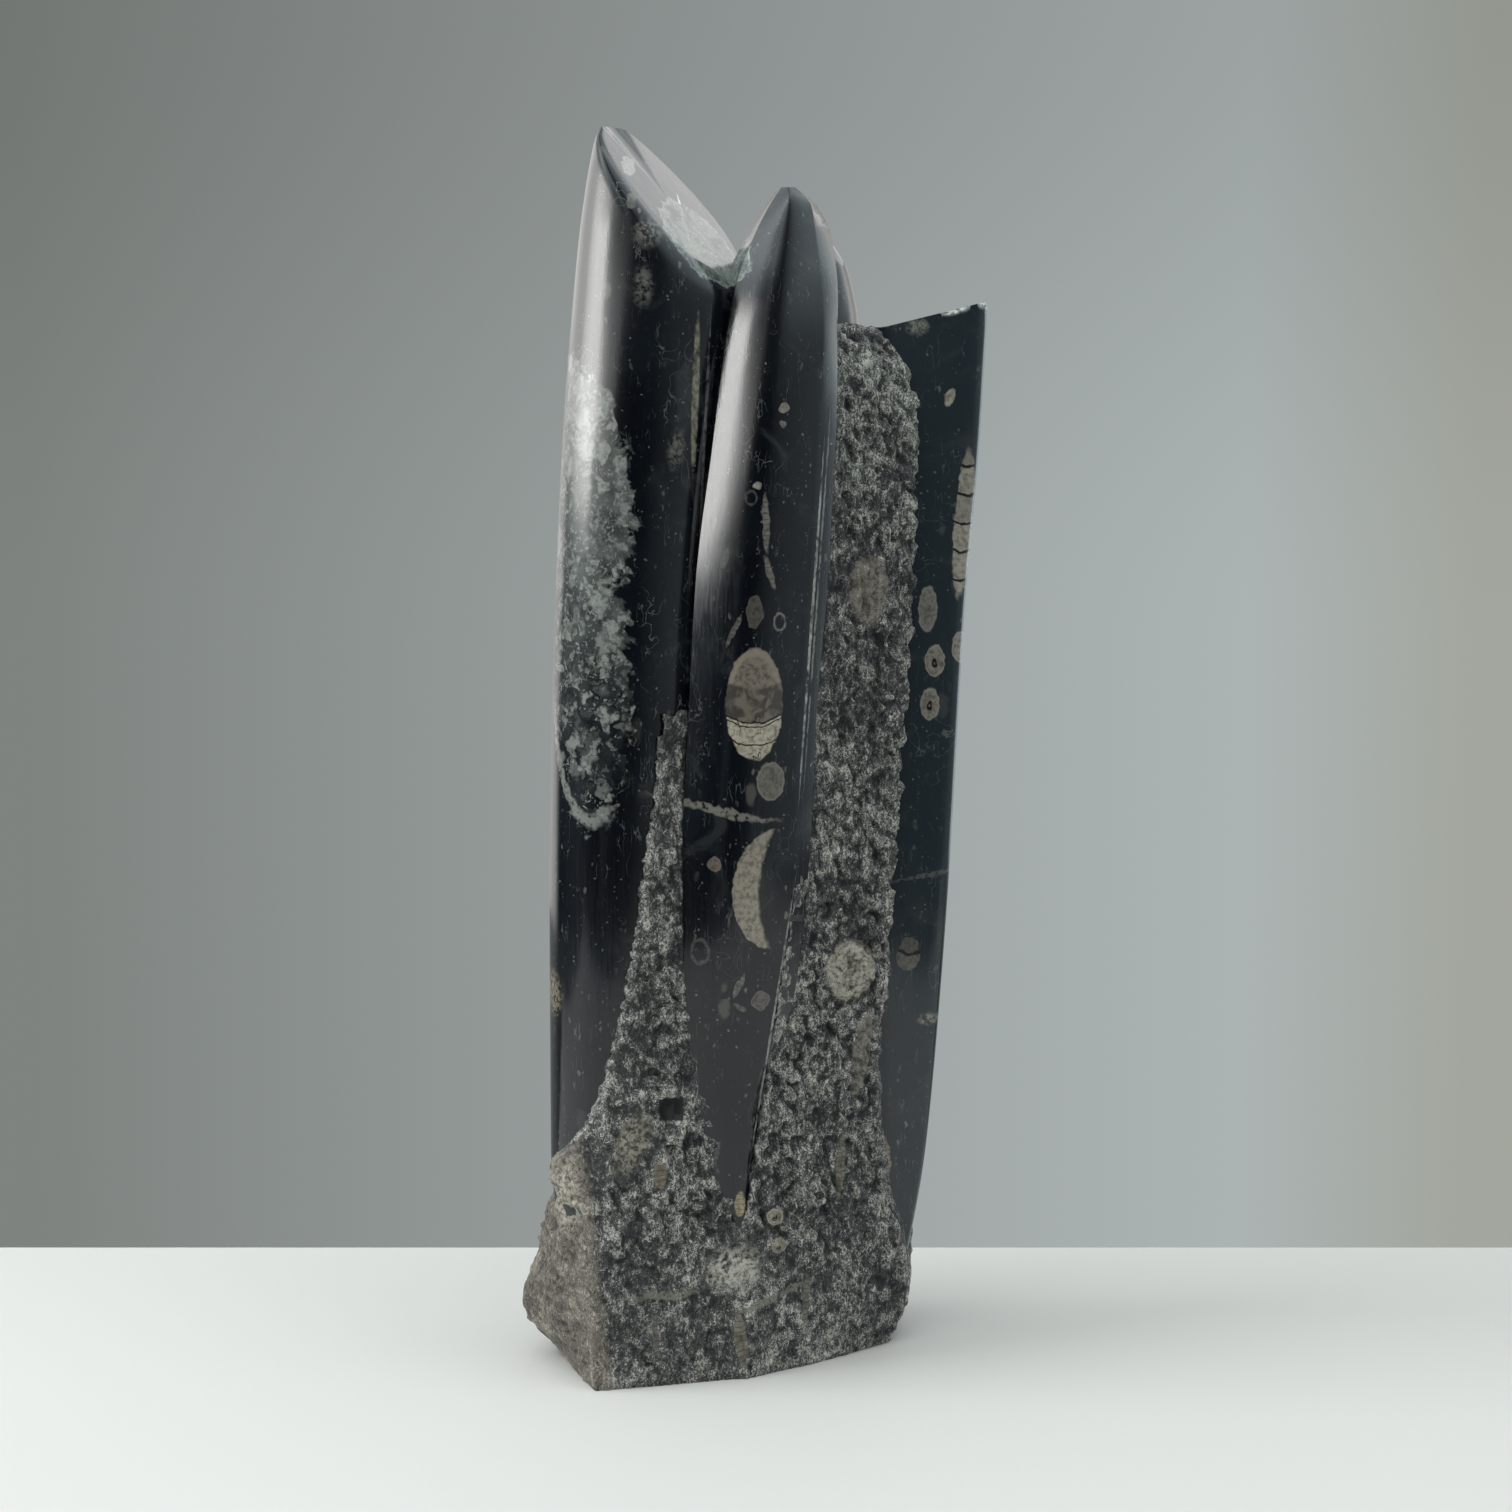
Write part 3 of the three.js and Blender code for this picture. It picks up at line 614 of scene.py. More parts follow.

# ---- the fossils, and pale lines along edges that are partly painted highlights, in millimetres of the stone ---

# kind, centre x, y, z, half width, half depth, half height, tilt in degrees, tone
BEIGE, CREAM, GREY, DIM = (128, 120, 108), (165, 160, 146), (122, 122, 114), (74, 76, 74)
FOSSILS = [
    # the leaf's front
    ("great", 0.2, -37.8, 208.6, 9, 20, 17.2, 0, BEIGE),
    ("oval", 5, -34.9, 185.1, 4.4, 20, 6.2, 0, (112, 110, 102)),
    ("crescent", 7.6, -36, 152.4, 14.6, 20, 19, 4, (152, 146, 132)),
    ("oval", -12, -39.4, 160.7, 2.3, 9, 2.4, 0, (112, 104, 94)),
    ("ring", 7.6, -33.8, 232.9, 2.2, 9, 3.1, 0, GREY),
    ("oval", 0.2, -37.5, 236.1, 2.6, 9, 5.2, 0, (86, 84, 78)),
    ("rod", -6, -38, 230.6, 0.9, 9, 6.2, 26, (104, 102, 96)),
    ("rod", 3.5, -36, 262, 1.3, 9, 10.4, -2, GREY),
    ("rod", 4.6, -35.5, 247.4, 1.1, 9, 5.8, -16, GREY),
    ("oval", 1.1, -36.2, 273.4, 1.5, 6, 1.5, 0, (150, 150, 140)),
    ("ring", -1, -36.5, 269.7, 2.3, 6, 2.6, 0, DIM),
    ("oval", 8.8, -32.7, 296.1, 1.7, 8, 1.7, 0, (140, 136, 128)),
    ("oval", 8.5, -33.1, 291.4, 1.2, 8, 1.3, 0, GREY),
    ("rod", -4.6, -37.5, 123.6, 1.1, 9, 4.6, 24, (106, 104, 98)),
    ("rod", -4.2, -37.5, 116.8, 0.9, 9, 2.6, -60, (96, 94, 90)),
    ("oval", 2, -34.4, 118.4, 3, 9, 3.2, 0, (98, 94, 88)),
    ("ring", -16.3, -38.6, 134.2, 3.2, 9, 4.6, 0, DIM),
    ("rod", -4.2, -33.2, 55.2, 1.9, 9, 4.6, 0, (160, 150, 120)),
    ("rod", -11.6, -35.6, 71, 0.9, 9, 5, 14, DIM),
    ("rod", -26, -36, 199, 1, 9, 9, 3, DIM),
    ("oval", -8.7, -37, 252, 1.2, 8, 3.6, 12, DIM),
    # the left spire
    ("oval", -37.2, -22, 368.4, 2.2, 12, 4.4, -8, (150, 150, 144)),
    ("oval", -36.1, -32.9, 356.6, 1.6, 9, 2.8, 0, (104, 104, 100)),
    ("cloud", -31.5, -30, 347, 5.5, 12, 5.5, 0, (118, 120, 114)),
    ("cloud", -32.5, -34, 331.5, 3.6, 12, 7.5, 0, (104, 106, 100)),
    ("cloud", -60.5, -30, 120.5, 5.2, 9, 8.5, 0, (158, 148, 128)),
    ("cloud", -23, -34, 284, 3.2, 9, 7, 8, (96, 98, 90)),
    ("line", -17.4, -22, 300, 1.3, 30, 28, 2, (138, 138, 118)),
    ("line", -21, -12, 351.5, 0.55, 30, 11, -15, (226, 228, 222)),
    ("line", -14.6, -22, 290, 0.5, 30, 40, 3, (92, 98, 96)),
    # painted highlights: two pale lines along the leaf's right crease
    ("line", 17.2, -24, 232, 0.45, 12, 62, 4, (176, 180, 174)),
    ("line", 19, -22, 240, 0.35, 12, 70, 4, (128, 134, 130)),
    # pale line along the leaf's border with the rough ground, in place of the border line left out there:
    # crushed stone and a painted edge highlight
    ("line", 5.4, -29, 110, 0.4, 12, 52, 9, (150, 156, 152)),
    # the right slab
    ("oval", 54.1, 10.3, 233.6, 3.2, 9, 7.7, 2, (122, 122, 114)),
    ("siphon", 56.4, 10.5, 217.3, 3.3, 9, 5.4, 0, (132, 130, 120)),
    ("siphon", 54.9, 9.9, 203.9, 3.2, 9, 5.6, 0, (132, 130, 120)),
    ("oval", 64.3, 13, 221.6, 2.8, 9, 5.2, 0, (140, 138, 128)),
    ("chambers", 65.2, 15, 260, 3.4, 12, 25, 4, (160, 158, 146)),
    ("oval", 60.6, 13.8, 299, 1.6, 6, 3.3, 24, (158, 156, 144)),
    ("cloud", 50.5, 12.8, 321, 4.2, 7, 3.2, 0, (128, 132, 124)),
    ("chambers", 48.5, 7.1, 125, 4.2, 8, 5.6, 8, (104, 104, 98)),
    ("cloud", 55.6, 8.4, 104, 4.6, 8, 2.4, 0, (140, 138, 130)),
    ("rod", 41.8, 5, 60.5, 1.5, 8, 7, -10, (146, 140, 124)),
    ("rod", 60.8, 10, 92, 0.9, 8, 11, 6, DIM),
    # sides and back
    ("siphon", 70.5, 24, 165, 14, 3.4, 5.2, 0, BEIGE),
    ("chambers", 68.5, 30, 104, 14, 4.2, 19, 0, CREAM),
    ("oval", 20, 44, 236, 6.4, 12, 10.5, 12, BEIGE),
    ("great", -30, 36, 210, 8.2, 20, 15.5, -6, (118, 112, 102)),
    ("siphon", 16, 44, 160, 3.6, 12, 5.8, 0, CREAM),
    ("crescent", -36, 34, 140, 9.5, 20, 14, 190, (140, 134, 122)),
    ("oval", -31, 34, 262, 3.4, 12, 5.4, 18, GREY),
    ("rod", 22, 44, 286, 1.2, 12, 13, -8, GREY),
    ("siphon", 52, 44, 250, 3.6, 12, 6, 0, BEIGE),
    ("chambers", 50, 44, 190, 4.4, 12, 21, -10, CREAM),
    ("oval", -62, 0, 236, 12, 3, 5, 0, GREY),
    ("crescent", -62, 2, 170, 12, 8, 12, 0, BEIGE),
]
# fossils that show in the rough ground
BURIED = [
    ("patch", 34.5, -6.1, 240.6, 7, 12, 11, 0, (142, 136, 122)),
    ("patch", 29.5, -11.6, 123.5, 9, 12, 9.6, 0, (206, 202, 184)),
    ("siphon", 6.3, -26, 49.8, 2.8, 8, 3, 0, (176, 172, 154)),
    ("siphon", 7.5, -25.6, 40.5, 2.7, 8, 2.7, 0, (160, 156, 142)),
    ("rod", 26.8, -14.1, 62, 1.7, 9, 11.5, 4, (138, 136, 122)),
    ("cloud", -6, -33.5, 35, 11, 12, 9, 0, (202, 200, 188)),
    ("rod", -28.5, -38, 66, 2.2, 9, 5, 0, (150, 140, 118)),
    ("cloud", -37, -40, 76, 6, 12, 12, 20, (176, 170, 152)),
    ("cloud", -56, -34, 60, 8, 16, 16, 10, (206, 200, 184)),
    ("rod", -4, -33, 12, 2.2, 9, 9, -6, (138, 134, 120)),
    ("rod", 16, -22, 22, 1.2, 9, 9, 4, (126, 124, 112)),
    ("rod", -30, -38.5, 16, 1.2, 9, 8, -4, (118, 116, 106)),
    ("patch", 33, -8, 96, 3, 9, 14, 10, (150, 146, 132)),
]


def linear(r, g, b):
    """A colour given by its everyday 0-255 values."""
    shares = (c / 255 for c in (r, g, b))
    return tuple(((c + 0.055) / 1.055) ** 2.4 if c > 10 / 255 else c / 12.92 for c in shares) + (1.0,)


class Graph:
    """Adds shader nodes; each method returns the output of the node it adds."""

    def __init__(self, material):
        material.use_nodes = True
        self.tree = material.node_tree
        self.shader = self.tree.nodes["Principled BSDF"]
        here = self.add("TexCoord", output="Object")
        self.place = self.vector("MULTIPLY", here, (1 / MM,) * 3)

    def add(self, kind, inputs=None, output=0, **settings):
        node = self.tree.nodes.new("ShaderNode" + kind)
        for name, value in settings.items():
            setattr(node, name, value)
        for name, value in (inputs or {}).items():
            self.feed(node.inputs[name], value)
        return node.outputs[output]

    def feed(self, socket, value):
        if isinstance(value, bpy.types.NodeSocket):
            self.tree.links.new(value, socket)
        else:
            socket.default_value = value

    def math(self, operation, *values):
        return self.add("Math", dict(enumerate(values)), operation=operation)

    def plus(self, a, b):
        return self.math("ADD", a, b)

    def minus(self, a, b):
        return self.math("SUBTRACT", a, b)

    def times(self, a, b):
        return self.math("MULTIPLY", a, b)

    def scaled(self, value, by, then_add):
        return self.math("MULTIPLY_ADD", value, by, then_add)

    def off_middle(self, value):
        """How far a noise is from its middle: 0 along thin wandering lines."""
        return self.math("ABSOLUTE", self.minus(value, 0.5))

    def vector(self, operation, *values):
        output = "Value" if operation == "LENGTH" else "Vector"
        return self.add("VectorMath", dict(enumerate(values)), output, operation=operation)

    def mix(self, share, a, b):
        """Mixes sockets, linear colours of four numbers or everyday ones of three."""
        a, b = (linear(*c) if isinstance(c, tuple) and len(c) == 3 else c for c in (a, b))
        return self.add("Mix", {0: share, 6: a, 7: b}, 2, data_type="RGBA")

    def step(self, value, low, high):
        """0 below low, 1 above high, smooth between; the other way round when low is the greater."""
        limits = {"Value": value, "From Min": low, "From Max": high}
        return self.add("MapRange", limits, interpolation_type="SMOOTHSTEP")

    def noise(self, vector, scale, detail=2.0, rough=0.5, warp=0.0, output="Fac"):
        shape = {"Scale": scale, "Detail": detail, "Roughness": rough, "Distortion": warp}
        return self.add("TexNoise", {"Vector": vector, **shape}, output)

    def cells(self, vector, scale, output="Distance"):
        return self.add("TexVoronoi", {"Vector": vector, "Scale": scale}, output)

    def turned(self, centre, radii, angles=(0, 0, 0), ragged=1.0):
        """Coordinates in a turned box about centre, 1 at its faces."""
        place = self.shaken
        if ragged < 1:
            calm = self.vector("MULTIPLY", self.place, (1 - ragged,) * 3)
            place = self.vector("MULTIPLY_ADD", place, (ragged,) * 3, calm)
        settings = {"Vector": place, "Location": centre, "Rotation": [math.radians(a) for a in angles],
                    "Scale": radii}
        return self.add("Mapping", settings, vector_type="TEXTURE")

    def ramp(self, stops):
        """A colour ramp through the given (position, colour) stops."""
        node = self.tree.nodes.new("ShaderNodeValToRGB")
        elements = node.color_ramp.elements
        while len(elements) < len(stops):
            elements.new(0.5)
        for element, (position, colour) in zip(elements, stops):
            element.position, element.color = position, colour
        return node

    def surface(self, colour, roughness, height, distance):
        """The shader's colour and roughness, and relief of the given distance in metres."""
        self.feed(self.shader.inputs["Base Color"], colour)
        self.feed(self.shader.inputs["Roughness"], roughness)
        bump = self.add("Bump", {"Strength": 1.0, "Distance": distance, "Height": height})
        self.feed(self.shader.inputs["Normal"], bump)

    def shine(self, colour, strength):
        glow = self.add("Emission", {"Color": colour, "Strength": strength})
        self.feed(self.tree.nodes["Material Output"].inputs["Surface"], glow)

    def axes(self, vector):
        node = self.tree.nodes.new("ShaderNodeSeparateXYZ")
        self.tree.links.new(vector, node.inputs[0])
        return node.outputs

    def channels(self, colour):
        node = self.tree.nodes.new("ShaderNodeSeparateColor")
        self.tree.links.new(colour, node.inputs[0])
        return node.outputs

    def after(self, value):
        """Lets the fossils be worked one after another: a shader this long has no room for all at once."""
        nudge = self.math("MULTIPLY", value, 1e-7)
        self.shaken = self.vector("ADD", self.shaken, nudge)
        self.mottle = self.math("ADD", self.mottle, nudge)

    def shake(self, amount):
        wobble = self.noise(self.place, 0.45, 1, output="Color")
        wobble = self.vector("SUBTRACT", wobble, (0.5, 0.5, 0.5))
        self.shaken = self.vector("MULTIPLY_ADD", wobble, (amount,) * 3, self.place)
        self.mottle = self.noise(self.place, 0.7, 4, 0.65)
        self.blotch = self.noise(self.place, 0.22, 3, 0.55, 0.6)


def flecks(g, under, size, share, radius, tone, stretch=(1, 1, 1), strength=1.0):
    """Small shell fragments: one per chosen cell of a lattice of the given size."""
    at = g.vector("MULTIPLY", g.shaken, stretch)
    away = g.cells(at, 1 / size)
    pick, bright, girth = g.channels(g.cells(at, 1 / size, output="Color"))
    reach = g.times(g.plus(girth, 0.35), radius)
    spot = g.step(g.minus(away, reach), 0.06, -0.06)
    chosen = g.math("GREATER_THAN", pick, 1 - share)
    share = g.times(g.times(spot, chosen), g.times(bright, strength))
    return g.mix(share, under, tone)


def streaks(g, under, scale, width, patch_low, patch_high, tone, stretch=(1, 1, 1)):
    """Thin wandering lines, in patches."""
    at = g.vector("MULTIPLY", g.shaken, stretch)
    line = g.off_middle(g.noise(at, scale, 2, 0.5, 0.4))
    patch = g.step(g.noise(g.place, scale * 0.45, 1), patch_low, patch_high)
    return g.mix(g.times(g.step(line, width, width * 0.3), patch), under, tone)


def vein(g, under, centre, radii, angles, tone, strength=1.0):
    """A thin seam of calcite through the stone, frayed at its ends."""
    box = g.turned(centre, radii, angles)
    wander = g.times(g.minus(g.blotch, 0.5), 3.0)
    x, y, z = g.axes(box)
    bent = g.add("CombineXYZ", {0: x, 1: y, 2: g.plus(z, wander)})
    inside = g.step(g.vector("LENGTH", bent), 1.0, 0.5)
    inside = g.times(inside, g.step(g.mottle, 0.34, 0.5))
    return g.mix(g.times(inside, strength), under, tone)


def fossil(g, under, kind, x, y, z, wide, deep, tall, tilt, tone):
    """One fossil: an ellipsoid in the stone, shown wherever a surface cuts it."""
    box = g.turned((x, y, z), (wide, deep, tall), (0, tilt, 0), 0.3 if kind == "line" else 1.0)
    across, _, along = g.axes(box)
    away = g.vector("LENGTH", box)
    soft = min(0.3, 0.45 / min(wide, tall))
    inside = g.step(away, 1.0, 1.0 - soft)
    light = linear(*tone)
    dark = tuple(c * 0.42 for c in light[:3]) + (1.0,)
    pale = tuple(min(1.0, c * 1.35) for c in light[:3]) + (1.0,)
    fill = g.mix(g.step(g.mottle, 0.3, 0.62), dark, light)
    if kind in ("oval", "siphon", "great"):
        rim = g.times(g.step(away, 0.78, 0.88), g.step(away, 1.0, 0.94))
        fill = g.mix(g.times(rim, 0.7), fill, pale)
    if kind == "siphon":
        eye = g.vector("LENGTH", g.add("CombineXYZ", {0: across, 1: g.plus(along, 0.12), 2: 0.0}))
        hole = g.times(g.step(eye, 0.3, 0.2), g.step(eye, 0.04, 0.1))
        fill = g.mix(hole, fill, (30, 30, 30))
    if kind == "ring":
        inside = g.times(inside, g.step(away, 0.55, 0.75))
    if kind == "line":
        inside = g.times(inside, g.step(g.blotch, 0.30, 0.55))
    if kind == "rod":
        fill = g.mix(g.step(g.math("PINGPONG", g.times(along, tall), 0.8), 0.22, 0.1), fill, dark)
    if kind == "crescent":
        bite = g.turned((x + 0.96 * wide, y, z), (1.39 * wide, deep * 3, 1.62 * tall), (0, tilt, 0))
        inside = g.times(inside, g.step(g.vector("LENGTH", bite), 1.0 - soft, 1.0 + soft))
    if kind in ("cloud", "patch"):
        inside = g.times(g.step(away, 1.1, 0.35), g.step(g.mottle, 0.36, 0.58))
        if kind == "patch":
            inside = g.times(g.step(away, 1.05, 0.9), g.step(g.mottle, 0.25, 0.6))
            inside = g.times(inside, 0.8)
    if kind == "chambers":
        bend = g.scaled(g.times(across, across), -0.35 * wide / tall, along)
        level = g.times(bend, tall / max(2.4, 2.6 * wide))
        wall = g.math("PINGPONG", level, 0.5)
        shade = g.add("TexWhiteNoise", {"W": g.math("FLOOR", level)}, "Value", noise_dimensions="1D")
        fill = g.mix(g.times(shade, 0.75), fill, dark)
        fill = g.mix(g.step(wall, 0.07, 0.03), fill, (28, 28, 28))
        taper = g.scaled(along, 0.28, g.math("ABSOLUTE", across))
        inside = g.times(inside, g.step(taper, 0.92, 0.80))
    if kind == "great":
        bend = g.scaled(g.times(across, across), -0.16, along)
        share, tone = g.step(bend, 0.30, 0.22), g.step(g.blotch, 0.4, 0.6)
        fill = g.mix(share, fill, g.mix(tone, (72, 68, 62), (116, 110, 100)))
        share, tone = g.step(bend, -0.31, -0.35), g.step(g.mottle, 0.3, 0.6)
        fill = g.mix(share, fill, g.mix(tone, (128, 122, 108), (182, 176, 160)))
        for level, width in ((-0.33, 0.022), (-0.40, 0.016), (-0.72, 0.018)):
            gap = g.math("ABSOLUTE", g.minus(bend, level))
            fill = g.mix(g.step(gap, width, width * 0.4), fill, (34, 32, 30))
        crack = g.off_middle(g.noise(g.place, 0.16, 2, 0.5, 1.2))
        crack = g.times(g.step(crack, 0.012, 0.004), g.step(along, 0.0, -0.2))
        fill = g.mix(crack, fill, (30, 28, 26))
    g.after(inside)
    return g.mix(inside, under, fill)


def calcite(g, under):
    """The great pale fossil of the left spire: broken white calcite, dense above, sparse below."""
    head = g.vector("LENGTH", g.turned((-51.5, -30.0, 272.0), (17.5, 24.0, 40.0), (0, -6, 0)))
    tail = g.vector("LENGTH", g.turned((-47.5, -30.0, 212.0), (13.0, 24.0, 47.0)))
    ragged = g.scaled(g.minus(g.blotch, 0.5), 0.7, g.math("MINIMUM", head, tail))
    inside = g.step(ragged, 1.03, 0.93)
    x, _, z = g.axes(g.place)
    dense = g.step(z, 190.0, 268.0)
    wander = g.vector("SUBTRACT", g.noise(g.place, 0.16, 3, 0.6, output="Color"), (0.5, 0.5, 0.5))
    bent = g.vector("MULTIPLY_ADD", wander, (11.0, 11.0, 11.0), g.shaken)
    bent = g.vector("MULTIPLY", bent, (1, 1, 0.7))
    cloud = g.step(g.noise(g.shaken, 0.12, 4, 0.65, 0.5), 0.34, 0.62)
    haze = g.times(g.scaled(cloud, 0.6, g.times(dense, 0.4)), inside)
    haze = g.times(haze, g.scaled(dense, 0.62, 0.2))
    colour = g.mix(haze, under, (104, 110, 108))
    for scale, most in ((0.22, 0.8), (0.46, 0.5), (1.1, 0.34)):
        away = g.cells(bent, scale)
        pick, bright, _ = g.channels(g.cells(bent, scale, output="Color"))
        limit = g.scaled(dense, most * 0.6, most * 0.4)
        share = g.times(g.math("LESS_THAN", pick, limit), g.step(away, 0.66, 0.36))
        share = g.times(g.times(share, inside), g.scaled(bright, 0.75, 0.1))
        share = g.times(share, g.step(g.mottle, 0.24, 0.56))
        colour = g.mix(share, colour, (160, 166, 160))
    line = g.step(g.math("ABSOLUTE", g.minus(tail, 0.95)), 0.05, 0.02)
    line = g.times(line, g.times(g.step(z, 214.0, 196.0), g.step(x, -43.0, -48.0)))
    line = g.times(line, g.step(g.mottle, 0.3, 0.5))
    g.after(line)
    return g.mix(g.times(line, 0.8), colour, (150, 154, 148))


def crystal(g, under):
    """The translucent greenish patch at the low end of the left spire's slanted top."""
    box = g.turned((-15.0, -16.5, 345.5), (17.0, 20.0, 11.5), (0, 44, 0))
    ragged = g.scaled(g.minus(g.blotch, 0.5), 0.4, g.vector("LENGTH", box))
    inside = g.step(ragged, 1.02, 0.97)
    cloudy = g.noise(g.place, 0.13, 4, 0.6, 0.8)
    tone = g.mix(g.step(cloudy, 0.36, 0.62), (56, 66, 64), (108, 120, 114))
    rim = g.times(g.step(ragged, 0.90, 0.96), g.step(g.mottle, 0.3, 0.6))
    thread = g.off_middle(g.noise(g.place, 0.2, 3, 0.55, 0.8))
    rim = g.math("MAXIMUM", rim, g.step(thread, 0.016, 0.006))
    tone = g.mix(g.times(rim, 0.35), tone, (196, 204, 198))
    share = g.times(inside, g.scaled(g.step(cloudy, 0.3, 0.55), 0.4, 0.55))
    return g.mix(share, under, tone)


def polished_stone():
    """Black limestone, ground and polished, with what it holds."""
    g = Graph(bpy.data.materials["polished"])
    g.shake(1.5)
    x, _, z = g.axes(g.place)
    body = g.mix(g.step(g.noise(g.place, 0.03, 3), 0.42, 0.7), (8, 12, 19), (18, 24, 30))
    body = g.mix(g.step(x, 38.0, 44.0), body, (37, 46, 52))
    veil = g.times(g.step(g.noise(g.place, 0.07, 4, 0.6, 0.8), 0.54, 0.76), 0.5)
    body = g.mix(veil, body, (62, 66, 66))
    body = g.mix(g.times(g.step(g.mottle, 0.62, 0.76), 0.35), body, (74, 78, 76))
    body = flecks(g, body, 1.1, 0.14, 0.26, (120, 126, 122), (1, 1, 1), 0.7)
    body = flecks(g, body, 3.6, 0.12, 0.20, (118, 120, 112), (1.5, 1, 0.7), 0.8)
    body = flecks(g, body, 8.5, 0.13, 0.18, (104, 104, 96), (1, 1, 0.5), 0.8)
    body = streaks(g, body, 0.10, 0.005, 0.56, 0.68, (84, 88, 84))
    body = streaks(g, body, 0.30, 0.010, 0.50, 0.64, (74, 80, 80), (1, 1, 0.12))
    body = calcite(g, body)
    body = vein(g, body, (-12.0, -36.0, 177.0), (26.0, 12.0, 1.5), (0, 13, 0), (132, 132, 122), 0.8)
    body = vein(g, body, (56.0, 10.0, 150.0), (18.0, 30.0, 0.9), (0, -8, 0), (96, 98, 92), 0.7)
    body = vein(g, body, (10.0, 40.0, 196.0), (46.0, 30.0, 1.1), (0, 9, 0), (118, 118, 108), 0.8)
    for row in FOSSILS:
        body = fossil(g, body, *row)
    body = crystal(g, body)
    # Pale line where the polish meets rough or broken faces: partly crushed stone at the edge, partly a
    # painted highlight of the edge catching the light.
    worn = g.add("Attribute", output="Fac", attribute_name="border")
    worn = g.times(g.step(worn, 0.8, 1.0), g.step(g.mottle, 0.3, 0.5))
    flank = g.times(g.step(x, 1.0, 6.0), g.step(x, 23.0, 19.0))
    flank = g.times(flank, g.times(g.step(z, 104.0, 118.0), g.step(z, 206.0, 192.0)))
    worn = g.times(worn, g.minus(1.0, flank))
    body = g.mix(g.times(worn, 0.8), body, (168, 174, 170))
    brushed = g.noise(g.vector("MULTIPLY", g.place, (1.6, 1.6, 0.05)), 1.0, 3, 0.6)
    limits = {"Value": brushed, "From Min": 0.3, "From Max": 0.8, "To Min": 0.07, "To Max": 0.2}
    gloss = g.add("MapRange", limits)
    swell = g.noise(g.vector("MULTIPLY", g.place, (1, 1, 0.3)), 0.06, 2, 0.5)
    height = g.scaled(brushed, 0.08, swell)
    g.surface(body, gloss, height, 0.00022)
    g.shader.inputs["IOR"].default_value = 1.55


def rough_stone():
    """The limestone where it was pecked with a point, and its weathered skin at the lower left."""
    g = Graph(bpy.data.materials["rough"])
    g.shake(1.2)
    x, _, z = g.axes(g.place)
    # Rises on crests and falls in pits: crests turn paler as crushed stone, and pits are darkened below as
    # painted shade.
    convexity = g.add("Attribute", output="Fac", attribute_name="convexity")
    broad = g.noise(g.place, 0.06, 3, 0.6)
    fine = g.noise(g.shaken, 2.1, 4, 0.72, 0.6)
    slant = g.add("Mapping", {"Vector": g.shaken, "Rotation": (0.0, 0.35, 0.0), "Scale": (1.0, 1.0, 0.45)})
    fibre = g.noise(slant, 0.75, 5, 0.7, 1.6)
    cluster = g.noise(g.shaken, 0.19, 4, 0.62, 0.8)
    cluster = g.scaled(g.minus(broad, 0.5), 0.9, cluster)
    cluster = g.scaled(g.minus(convexity, 0.5), 0.22, cluster)
    bruise = g.scaled(fine, 0.5, g.times(fibre, 0.5))
    bruise = g.scaled(g.minus(cluster, 0.5), 0.26, bruise)
    coarse = g.off_middle(g.noise(slant, 0.36, 4, 0.6, 1.0))
    thread = g.times(g.step(coarse, 0.022, 0.006), g.step(fine, 0.40, 0.54))
    thread = g.times(thread, g.step(cluster, 0.40, 0.56))
    skin = g.times(g.step(g.scaled(z, 0.10, x), -39.0, -46.0), g.step(z, 92.0, 62.0))
    skin = g.step(g.plus(skin, g.times(g.minus(g.blotch, 0.5), 1.2)), 0.4, 0.75)
    green = g.times(g.step(z, 170.0, 300.0), g.step(broad, 0.40, 0.6))
    chalk = g.mix(g.times(green, 0.45), (222, 221, 210), (194, 214, 198))
    low, mid = (25, 28, 31), (103, 106, 104)
    body = g.mix(g.step(bruise, 0.41, 0.60), low, mid)
    body = g.mix(g.step(bruise, 0.525, 0.65), body, chalk)
    body = g.mix(g.times(thread, 0.85), body, chalk)
    aged = g.mix(g.step(bruise, 0.41, 0.52), (46, 43, 42), (116, 110, 100))
    aged = g.mix(g.step(bruise, 0.53, 0.68), aged, (206, 200, 186))
    body = g.mix(skin, body, aged)
    body = vein(g, body, (-29.0, -36.0, 28.5), (16.0, 14.0, 1.7), (0, -2, 0), (128, 126, 116), 0.9)
    body = vein(g, body, (9.0, -28.0, 25.0), (22.0, 18.0, 1.5), (0, -16, 0), (128, 126, 116), 0.9)
    for row in BURIED:
        body = fossil(g, body, *row)
    pit = g.turned((-25.0, -39.0, 86.0), (3.8, 9.0, 3.5), (0, 0, 0))
    across, _, along = g.axes(pit)
    square = g.math("MAXIMUM", g.math("ABSOLUTE", across), g.math("ABSOLUTE", along))
    body = g.mix(g.step(square, 1.05, 0.9), body, (30, 32, 34))
    # Painted shade: the pits, where the surface sinks below its neighbours, are darkened a little.
    pit_shade = g.step(convexity, 0.3, 0.0)
    body = g.mix(g.times(pit_shade, 0.25), body, (18, 19, 21))
    height = g.plus(g.times(fine, 0.5), g.noise(g.shaken, 0.55, 3, 0.6, 0.8))
    height = g.plus(height, g.times(g.noise(g.place, 3.6, 2, 0.6), 0.25))
    g.surface(body, 0.72, height, 0.0009)


def broken_stone():
    """Fresh breaks: grey and crystalline."""
    g = Graph(bpy.data.materials["broken"])
    g.shake(1.0)
    tone = g.mix(g.step(g.mottle, 0.35, 0.62), (70, 74, 76), (186, 190, 186))
    g.surface(tone, 0.42, g.mottle, 0.0005)


polished_stone()
rough_stone()
broken_stone()

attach(stone, "root")
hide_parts("fossil_stone")

# ---- stage --------------------------------------------------------------------------------------

